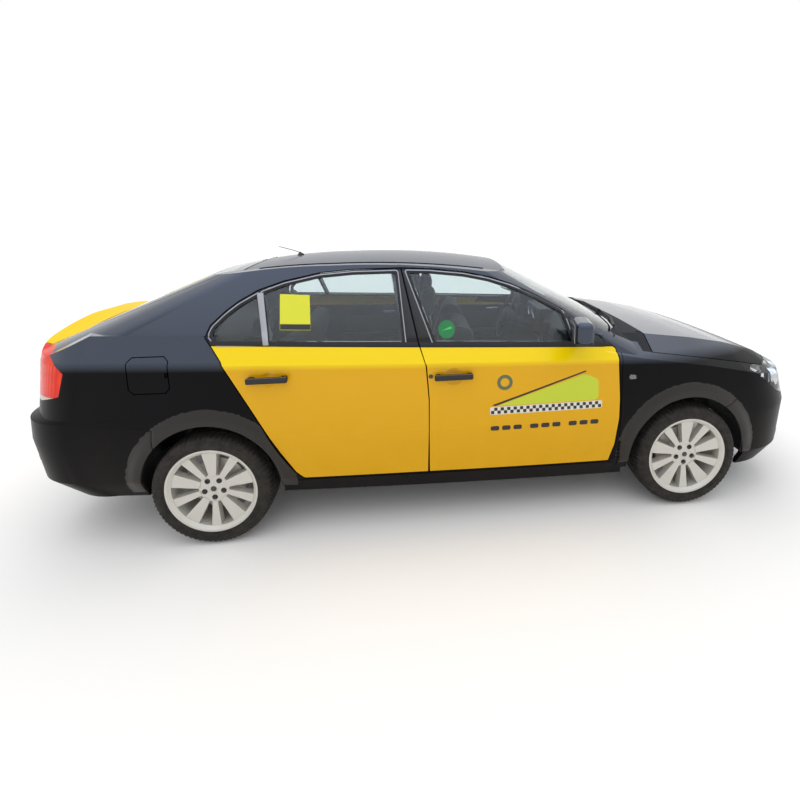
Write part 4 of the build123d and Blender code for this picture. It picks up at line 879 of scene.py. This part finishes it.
def top_z(x, y, names=("roof", "windscreen", "tailgate_glass", "tailgate", "bonnet", "firewall")):
    """Height of the body from above; over a gap the nearest place in front or behind."""
    for reach in (0, 6, 12, 24, 40):
        for dx in (0, -reach, reach):
            hit = seen_from((x + dx, y, 2600), (0, 0, -1), names)
            if hit:
                return hit[0].z
    return 1000


def tube(name, points, radius, mat, body, loop=False, smooth=True):
    """Round bar along points in mm."""
    curve = bpy.data.curves.new(name, "CURVE")
    curve.dimensions, curve.bevel_depth, curve.bevel_resolution = "3D", radius / 1000, 3
    curve.resolution_u, curve.use_fill_caps = 6, True
    spline = curve.splines.new("NURBS" if smooth else "POLY")
    spline.points.add(len(points) - 1)
    for p, co in zip(spline.points, points):
        p.co = (*[c / 1000 for c in co], 1)
    spline.use_cyclic_u = loop
    if smooth:
        spline.order_u, spline.use_endpoint_u = 3, not loop
    placed(name, curve)
    bpy.ops.object.convert(target="MESH")
    return closed(bpy.context.object, mat, body)


for name, side in SIDES:
    points, faces = [], []
    for i, x in enumerate(np.linspace(-1000, 250, 26)):
        y = 515 - 0.00003 * (x + 350) ** 2 * 0.6
        z = max(top_z(x, y + d, ("roof", "body_side_left")) for d in (-ROOF_GAP, ROOF_GAP)) + 1.6
        points += [(x, y - 6, z), (x, y + 6, z)]
        if i:
            k = 2 * i
            faces.append((k - 2, k - 1, k + 1, k))
    pressed(f"roof_strip_{name}", points, faces, side, seal, "body", 2.5, 0.8)
base = top_z(-905, 0)
foot = [(-4, 0.1), (-4, 24), (3, 22), (12, 12), (20, 5), (22, 0.1)]
turned("aerial_foot", foot, (-905, 0, base), (-0.2, 0, 1), plastic, "body", 36)
mast = [(-905, 0, base + 14), (-950, 0, base + 32), (-1040, 0, base + 58)]
tube("aerial", mast, 2.2, plastic, "body", smooth=False)
WIPERS = (((1112, 130), (1098, -180), (1128, 430)), ((1080, -410), (985, -660), (1118, -150)))
for i, (mid, tip, pivot) in enumerate(WIPERS):
    a, b = Vector(mid), Vector(tip)
    out = (b - a).normalized()
    blade = [a - out * 110, a * 0.5 + b * 0.5, b + out * 70]
    tube(f"wiper_blade_{i}", [(p.x, p.y, top_z(p.x, p.y) + 8) for p in blade], 4, seal, "body")
    drum(f"wiper_cap_{i}", 15, 14, (*pivot, top_z(*pivot) + 14), (0.15, 0, 1), plastic, "body", 3, 32)

# Front and rear seats: foam under woven cloth, swollen by a short cloth simulation, with raised side
# bolsters and sewn channels pressed in afterwards. Head restraints stand on steel posts, and plain belts
# hang beside the front seats. Sizes are in mm.
PAD_FILL, CLOTH_FRAMES, PRESSURE = 0.85, 20, 4
BOLSTER_FROM, BOLSTER_RUN = 0.55, 0.3  # shares of the half width where the bolster starts and how it rises
SEAM_DEEP, SEAM_WIDE, SHOW_FACE = 7, 11, 0.35


def weave(name, code, code_thread):
    """Woven seat cloth: threads of 1.2 mm under and over, with a soft sheen."""
    mat, tree, shader = finish(name, "seat_cloth", roughness=0.95, sheen_weight=0.25, sheen_roughness=0.5)
    where = add(tree, "TexCoord").outputs["Object"]
    wave_a = add(tree, "TexWave", {"Vector": where}, bands_direction="Y", scale=260)
    wave_b = add(tree, "TexWave", {"Vector": where}, bands_direction="Z", scale=260)
    thread = math_node(tree, "MULTIPLY", wave_a.outputs["Fac"], wave_b.outputs["Fac"])
    tree.links.new(blend_colour(tree, thread, code, code_thread), shader.inputs["Base Color"])
    bumped(tree, shader, thread, 0.5, 0.0008)
    return mat


def pad(name, size, place, lean, mat, node, bolster=0, channels=(), voxel=17, puff=9):
    """Cushion of the given size whose show face looks up before it is leaned about the y axis."""
    _, width, depth = size
    bpy.ops.object.select_all(action="DESELECT")
    bpy.ops.mesh.primitive_cube_add(size=1)
    piece = bpy.context.object
    piece.name = name
    piece.scale = [(s - 2 * puff * 0.6) / 1000 for s in size]
    bpy.ops.object.transform_apply(scale=True)
    changed(piece, "BEVEL", width=depth * 0.00033, segments=4)
    changed(piece, "REMESH", mode="VOXEL", voxel_size=voxel / 1000)
    co = np.array([v.co for v in piece.data.vertices])
    share = np.abs(co[:, 1]) / (width / 2000)
    rise = np.clip((share - BOLSTER_FROM) / BOLSTER_RUN, 0, 1)
    co[:, 2] += bolster / 1000 * rise * rise * (3 - 2 * rise) * np.clip(co[:, 2] / (depth / 2000), 0, 1)
    piece.data.vertices.foreach_set("co", co.ravel())
    soft = piece.modifiers.new("pad", "CLOTH")
    soft.settings.use_pressure, soft.settings.uniform_pressure_force = True, PRESSURE
    soft.settings.effector_weights.gravity = 0
    for f in range(1, CLOTH_FRAMES + 1):
        bpy.context.scene.frame_set(f)
    bpy.ops.object.modifier_apply(modifier="pad")
    bpy.context.scene.frame_set(1)
    now = np.array([v.co for v in piece.data.vertices])
    move = now - co
    far = np.linalg.norm(move, axis=1, keepdims=True)
    co = co + move * np.minimum(1, puff / 1000 / np.maximum(far, 1e-9))
    show = co[:, 2] > depth / 2000 * SHOW_FACE
    for axis, at in channels:
        dip = SEAM_DEEP * np.exp(-((co[:, axis] * 1000 - at) / SEAM_WIDE) ** 2)
        co[show, 2] -= dip[show] / 1000
    piece.data.vertices.foreach_set("co", co.ravel())
    changed(piece, "SUBSURF", levels=1)
    piece.rotation_euler = (0, math.radians(lean), 0)
    piece.location = [c / 1000 for c in place]
    closed(piece, mat, "body", crease=70)
    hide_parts(node)


cloth = weave("woven_cloth", "#1d1e21", "#303236")
cloth_side = weave("woven_cloth_plain", "#141517", "#202225")
finish_with(cloth, "front_seats", "rear_bench")
SEAT_SEAMS = [(1, -118), (1, 118), (0, 90), (0, -60)]
BACK_SEAMS = [(1, -118), (1, 118), (0, -120), (0, 30), (0, 170)]
BELT_TOP, BELT_FOOT = (-160, 672, 1190), (-128, 668, 520)
for name, side in SIDES:
    y = side * 355
    front = "front_seats"  # the CAD node that these pads stand for
    pad(f"front_seat_base_{name}", (520, 470, 150), (370, y, 478), -5, cloth, front, 34, SEAT_SEAMS)
    pad(f"front_seat_back_{name}", (600, 470, 130), (48, y, 770), -71, cloth, front, 34, BACK_SEAMS)
    pad(f"front_head_restraint_{name}", (165, 258, 92), (-75, y, 1176), -78, cloth_side, front, 0, (), 13, 6)
    block(f"front_seat_plinth_{name}", (370, 380, 130), (375, y, 352), plastic, "body", 12)
    for tag, post in (("a", -55), ("b", 55)):
        ends = [(-55, y + post, 1030), (-72, y + post, 1140)]
        tube(f"front_restraint_post_{tag}_{name}", ends, 7, bright, "body", smooth=False)
    (ax, ay, az), (bx, by, bz) = BELT_TOP, BELT_FOOT
    place = ((ax + bx) / 2, side * (ay + by) / 2, (az + bz) / 2)
    tilt = math.degrees(math.atan2(ax - bx, az - bz))
    block(f"belt_upper_{name}", (48, 2, az - bz), place, cloth_side, "body", 0.8, (0, tilt, 0))

BENCH_SEAMS = [(1, -210), (1, 210), (0, 60)]
REST_SEAMS = [(1, -210), (1, 210), (0, -60), (0, 110)]
pad("rear_seat_base", (470, 1230, 170), (-700, 0, 515), -4, cloth, "rear_bench", 10, BENCH_SEAMS, 20)
pad("rear_seat_back", (560, 1110, 125), (-962, 0, 735), -73, cloth, "rear_bench", 8, REST_SEAMS, 20)
for i, y in enumerate((-360, 0, 360)):
    place = (-1056, y, 1070)
    pad(f"rear_head_restraint_{i}", (130, 238, 78), place, -76, cloth_side, "rear_bench", 0, (), 13, 6)
    for tag, post in (("a", -50), ("b", 50)):
        ends = [(-1028, y + post, 965), (-1050, y + post, 1050)]
        tube(f"rear_restraint_post_{i}_{tag}", ends, 6, bright, "body", smooth=False)

# Dashboard and controls: two dials and a small one, four air vents, a blank screen, gear lever, pedals,
# the steering wheel's grip and airbag cover, sun visors, the inside mirror and a plain fare meter.
DRIVER_Y, WHEEL_R, WHEEL_LEAN = 355, 185, 24
for dy, radius in ((-72, 46), (72, 46), (0, 24)):
    ring = [(-3, radius - 4), (3, radius - 3), (4, radius), (-3, radius)]
    turned(f"dial_ring_{dy + 72}", ring, (777, DRIVER_Y + dy, 934), (-1, 0, 0.1), bright, "body", 48)
    drum(f"dial_{dy + 72}", radius - 3, 3, (779, DRIVER_Y + dy, 934), (-1, 0, 0.1), gloss_black, "body", 0.5)
for i, y in enumerate((-600, -90, 60, 610)):
    block(f"air_vent_{i}", (22, 120, 62), (808, y, 880), plastic, "body", 6, (0, 8, 0))
    for k in range(3):
        place = (797, y, 862 + k * 18)
        block(f"air_vent_{i}_slat_{k}", (12, 104, 4), place, gloss_black, "body", 1, (0, 20, 0))
block("dash_screen", (14, 172, 96), (790, -15, 800), gloss_black, "body", 4, (0, 6, 0))
block("dash_controls", (14, 160, 60), (790, -15, 705), plastic, "body", 4, (0, 6, 0))
block("glove_box_lid", (10, 330, 150), (838, -430, 760), plastic, "body", 5, (0, 24, 0))
gaiter = [(0, 62), (10, 58), (40, 30), (74, 14), (78, 10), (0, 0.1)]
turned("gear_gaiter", gaiter, (420, 0, 468), (0, 0, 1), seal, "body", 40)
tube("gear_lever", [(420, 0, 500), (412, 0, 600)], 7, bright, "body", smooth=False)
knob = [(-26, 9), (-16, 17), (4, 23), (18, 19), (25, 8), (26, 0.1), (-26, 0.1)]
turned("gear_knob", knob, (410, 0, 618), (0, 0, 1), plastic, "body", 32)
block("hand_brake", (210, 24, 26), (150, -30, 492), plastic, "body", 9, (0, -12, 0), 4)
for i, (y, width) in enumerate(((285, 46), (355, 60), (430, 60))):
    block(f"pedal_{i}", (8, width, 66), (955, y, 372), seal, "body", 2, (0, -30, 0))
    block(f"pedal_arm_{i}", (10, 14, 230), (990, y, 480), steel, "body", 2, (0, 12, 0))
lean = math.radians(WHEEL_LEAN)
toward = Vector((-math.cos(lean), 0, math.sin(lean)))
upward, leftward = Vector((math.sin(lean), 0, math.cos(lean))), Vector((0, 1, 0))
hub = Vector((575, DRIVER_Y, 905))
cover = [(-6, 74), (8, 72), (26, 56), (34, 30), (36, 0.1), (-6, 0.1)]
turned("airbag_cover", cover, hub + toward * 8, toward, plastic, "steering_wheel", 48)
grip = [hub + (upward * math.cos(a) + leftward * math.sin(a)) * WHEEL_R
        for a in np.linspace(0, 2 * math.pi, 37)[:36]]
tube("steering_rim_grip", grip, 16.5, seal, "steering_wheel", loop=True)
for tag, side in SIDES:
    stalk = [hub - toward * 60 + Vector((0, side * 30, 0)), hub - toward * 56 + Vector((0, side * 150, 14))]
    tube(f"column_stalk_{tag}", stalk, 7, plastic, "body", smooth=False)
    block(f"sun_visor_{tag}", (160, 330, 16), (330, side * 330, 1345), plastic, "body", 6, (0, 14, 0))
block("inside_mirror", (24, 230, 62), (430, 0, 1268), plastic, "body", 9, (0, 12, 0), 4)
block("inside_mirror_glass", (3, 214, 50), (417, 0, 1266), bright, "body", 1, (0, 12, 0))
tube("inside_mirror_stem", [(440, 0, 1270), (478, 0, 1320)], 8, plastic, "body", smooth=False)
block("fare_meter", (34, 170, 58), (905, -60, 996), gloss_black, "body", 6, (0, 10, 0))

# Door cards: a moulded armrest and pocket, a cloth insert and a steel handle on each door's inner face.
for name, side in SIDES:
    for kind, x0, x1 in (("front", -20, 720), ("rear", -860, -200)):
        door, mid, long = f"{kind}_door_{name}", (x0 + x1) / 2, x1 - x0
        inner = seen_from((mid, 0, 640), (0, 1, 0), (f"{kind}_door_left",))
        y = inner[0].y if inner else 735
        for part, size, x, deep, z, mat, bevel, segments in (
                ("armrest", (long * 0.72, 62, 58), mid - 20, 26, 690, plastic, 18, 5),
                ("door_pocket", (long * 0.7, 44, 110), mid, 18, 420, plastic, 14, 4),
                ("card_insert", (long * 0.75, 12, 130), mid, 3, 800, cloth, 5, 3),
                ("inner_handle", (110, 12, 30), mid + long * 0.22, 12, 885, bright, 5, 4)):
            place = (x, side * (y - deep), z)
            block(f"{kind}_{part}_{name}", size, place, mat, door, bevel, segments=segments)

# Livery of the doors: a plain lime bar over two rows of black and white squares, a row of plain black
# dashes under it, a plain ring, and on the right side a blank yellow card and a green disc on the glass.
# Foil is 0.4 mm thick and follows the door.
SQUARE, COLUMNS, CHECK_X, CHECK_Z = 17.5, 35, 236, 640
DASHES, DASH_LONG, DASH_STEP, DASH_Z, FOIL = 9, 46, 62, (545, 571), 0.4


def foil(name, outline, side, mat, body, lift=0.5, names=LEFT_SIDE):
    return laid(name, net(outline, (), (), 30), side, mat, body, lift, FOIL, bevel=0, names=names)


def box_line(x0, x1, z0, z1):
    """Outline of an upright rectangle."""
    return [(x0, z0), (x1, z0), (x1, z1), (x0, z1)]


def circle(x, z, radius):
    """Points round a circle in side view."""
    turns = np.linspace(0, 2 * math.pi, 33)[:32]
    return [(x + radius * math.cos(a), z + radius * math.sin(a)) for a in turns]


lime = stock("lime_foil", "yellow_paint", "#c9d60a", roughness=0.3, coat_weight=0.4)
dark_foil = stock("black_foil", "black_plastic", "#1d1712", roughness=0.35)
white_foil = stock("white_foil", "black_plastic", "#e4e2d8", roughness=0.35)
green_foil = stock("green_foil", "black_plastic", "#0c7a3c", roughness=0.35)
pale_green = stock("pale_green_foil", "black_plastic", "#4ec35a", roughness=0.35)
card_foil = stock("yellow_card", "yellow_paint", "#e2e32c", roughness=0.45)
ring_foil = stock("grey_foil", "black_plastic", "#5e6a4c", roughness=0.4)
LIME_BAR = [(266, 684), (832, 684), (832, 800), (756, 836)]
LIME_EDGE = [(242, 690), (260, 684), (760, 846), (756, 853)]
for name, side in SIDES:
    door, own = f"front_door_{name}", ("front_door_left",)
    foil(f"lime_bar_{name}", rounded(LIME_BAR, 26), side, lime, door, names=own)
    foil(f"lime_bar_edge_{name}", LIME_EDGE, side, dark_foil, door, 0.7, names=own)
    ground = box_line(CHECK_X - 5, CHECK_X + COLUMNS * SQUARE + 5, CHECK_Z - 4, CHECK_Z + 2 * SQUARE + 4)
    foil(f"check_ground_{name}", rounded(ground, 10), side, white_foil, door, names=own)
    dark = []
    for row in range(2):
        for col in range(row % 2, COLUMNS, 2):
            x0, z0 = CHECK_X + col * SQUARE, CHECK_Z + row * SQUARE
            dark += box_line(x0, x0 + SQUARE, z0, z0 + SQUARE)
    corners = np.array(dark, float)
    y = side_y(corners[:, 0], corners[:, 1], own) + 0.9
    quads = np.arange(len(corners)).reshape(-1, 4)
    squares = np.c_[corners[:, 0], y, corners[:, 1]]
    pressed(f"check_squares_{name}", squares, quads, side, dark_foil, door, FOIL, 0)
    for k in range(DASHES):
        x0 = CHECK_X - 2 + k * DASH_STEP + (k // 3) * 30
        dash = rounded(box_line(x0, x0 + DASH_LONG, *DASH_Z), 10)
        foil(f"dash_{k}_{name}", dash, side, dark_foil, door, names=own)
    ring = net(circle(312, 812, 42), [circle(312, 812, 24)], (), 30)
    laid(f"plain_ring_{name}", ring, side, ring_foil, door, 0.5, FOIL, bevel=0, names=own)

CARD = [(-861, 1290), (-706, 1281), (-690, 1112), (-845, 1118)]
CARD_BAR = [(-846, 1146), (-693, 1140), (-691, 1114), (-844, 1120)]
WEDGE = [(-14, 1084), (38, 1104), (44, 1092)]
for name, kind, outline, mat, lift in (
        ("blank_card", "rear", CARD, card_foil, -2.4), ("blank_card_bar", "rear", CARD_BAR, dark_foil, -2.0),
        ("green_disc", "front", circle(14, 1090, 44), green_foil, -2.4),
        ("green_disc_wedge", "front", WEDGE, pale_green, -2.0)):
    foil(name, outline, -1, mat, f"{kind}_door_right", lift, names=(f"{kind}_door_glass_left",))

flat, tris = net(rounded([(-1560, -250), (-1560, -440), (-1330, -400), (-1330, -210)], 16), (), (), 24)
z = np.array([top_z(x, y, ("tailgate_glass",)) for x, y in flat]) + 0.8
pressed("rear_screen_bar", np.c_[flat[:, 0], flat[:, 1], z], tris, 1, card_foil, "tailgate", 0.5, 0)

# Bonnet and bumpers, pressed and moulded with long curves: merged copies carry one even sheen in place of
# the CAD facets.
def smoothed(node, mat, body):
    """Merged copy of a CAD node, in its place."""
    piece = placed(f"{node}_skin", nodes[node].data.copy())
    if piece.data.has_custom_normals:
        bpy.ops.mesh.customdata_custom_splitnormals_clear()
    bpy.ops.object.mode_set(mode="EDIT")
    bpy.ops.mesh.select_all(action="SELECT")
    bpy.ops.mesh.remove_doubles(threshold=0.00002)
    bpy.ops.object.mode_set(mode="OBJECT")
    closed(piece, mat, body, crease=22)
    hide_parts(node)


smoothed("bonnet", black_enamel, "bonnet")
smoothed("front_bumper", bumper_enamel, "body")
smoothed("rear_bumper", bumper_enamel, "body")

# Studio: a plain white floor under a plain white sky that is a little brighter overhead, and the camera.
def mirror_rays(tree):
    """The light path, and 1 for the rays of the camera, of reflections and through glass."""
    rays = add(tree, "LightPath")
    seen = math_node(tree, "MAXIMUM", rays.outputs["Is Camera Ray"], rays.outputs["Is Glossy Ray"])
    return rays, math_node(tree, "MAXIMUM", seen, rays.outputs["Is Transmission Ray"])


bpy.ops.mesh.primitive_plane_add(size=400, location=(0, 0, 0))
floor = bpy.context.object
floor.name = "studio_floor"
white, tree, shader = finish("studio_floor", "black_plastic", base_color=(0.98, 0.98, 0.98, 1), roughness=1.0,
                             specular_ior_level=0.0)
rays, seen = mirror_rays(tree)
shader.inputs["Emission Color"].default_value = (1, 1, 1, 1)
tree.links.new(math_node(tree, "MULTIPLY", seen, 0.02), shader.inputs["Emission Strength"])
floor.data.materials.append(white)

world = bpy.data.worlds.new("studio")
bpy.context.scene.world = world
world.use_nodes = True
sky = world.node_tree
sky.nodes.clear()
rays, seen = mirror_rays(sky)
up = add(sky, "SeparateXYZ", {"Vector": add(sky, "TexCoord").outputs["Generated"]})
light = ramp(sky, up.outputs["Z"], 0.0, 1.0, 0.04, 1.64)
shown = ramp(sky, up.outputs["Z"], 0.62, 0.95, 1.0, 2.8)
overhead = math_node(sky, "MULTIPLY", rays.outputs["Is Glossy Ray"], math_node(sky, "SUBTRACT", shown, 1.0))
lit = math_node(sky, "MULTIPLY", light, math_node(sky, "SUBTRACT", 1.0, seen))
strength = math_node(sky, "ADD", lit, math_node(sky, "ADD", seen, overhead))
cool = blend_colour(sky, math_node(sky, "MULTIPLY", overhead, 0.7), "#ffffff", "#d5e2ff")
shine = add(sky, "Background", {"Strength": strength, "Color": cool})
add(sky, "OutputWorld", {"Surface": shine.outputs[0]})

PIXELS, FILM = 800, 36
yaw, pitch, roll = 0.0952, 0.1657, -0.0155
forward = Vector((math.sin(yaw) * math.cos(pitch), math.cos(yaw) * math.cos(pitch), -math.sin(pitch)))
level_right = forward.cross(Vector((0, 0, 1))).normalized()
level_up = level_right.cross(forward)
right = level_right * math.cos(roll) + level_up * math.sin(roll)
up = -level_right * math.sin(roll) + level_up * math.cos(roll)
bpy.ops.object.camera_add()
camera = bpy.context.object
camera.name = "camera"
turn = Matrix((right, up, -forward)).transposed().to_4x4()
camera.matrix_world = Matrix.Translation((-0.1282, -3.0079, 1.6614)) @ turn
camera.data.sensor_width, camera.data.sensor_fit = FILM, "HORIZONTAL"
camera.data.lens = 435.69 / PIXELS * FILM
camera.data.shift_x, camera.data.shift_y = (400 - 459.62) / PIXELS, (293.19 - 400) / PIXELS
bpy.context.scene.camera = camera
bpy.context.scene.view_settings.view_transform = "Standard"
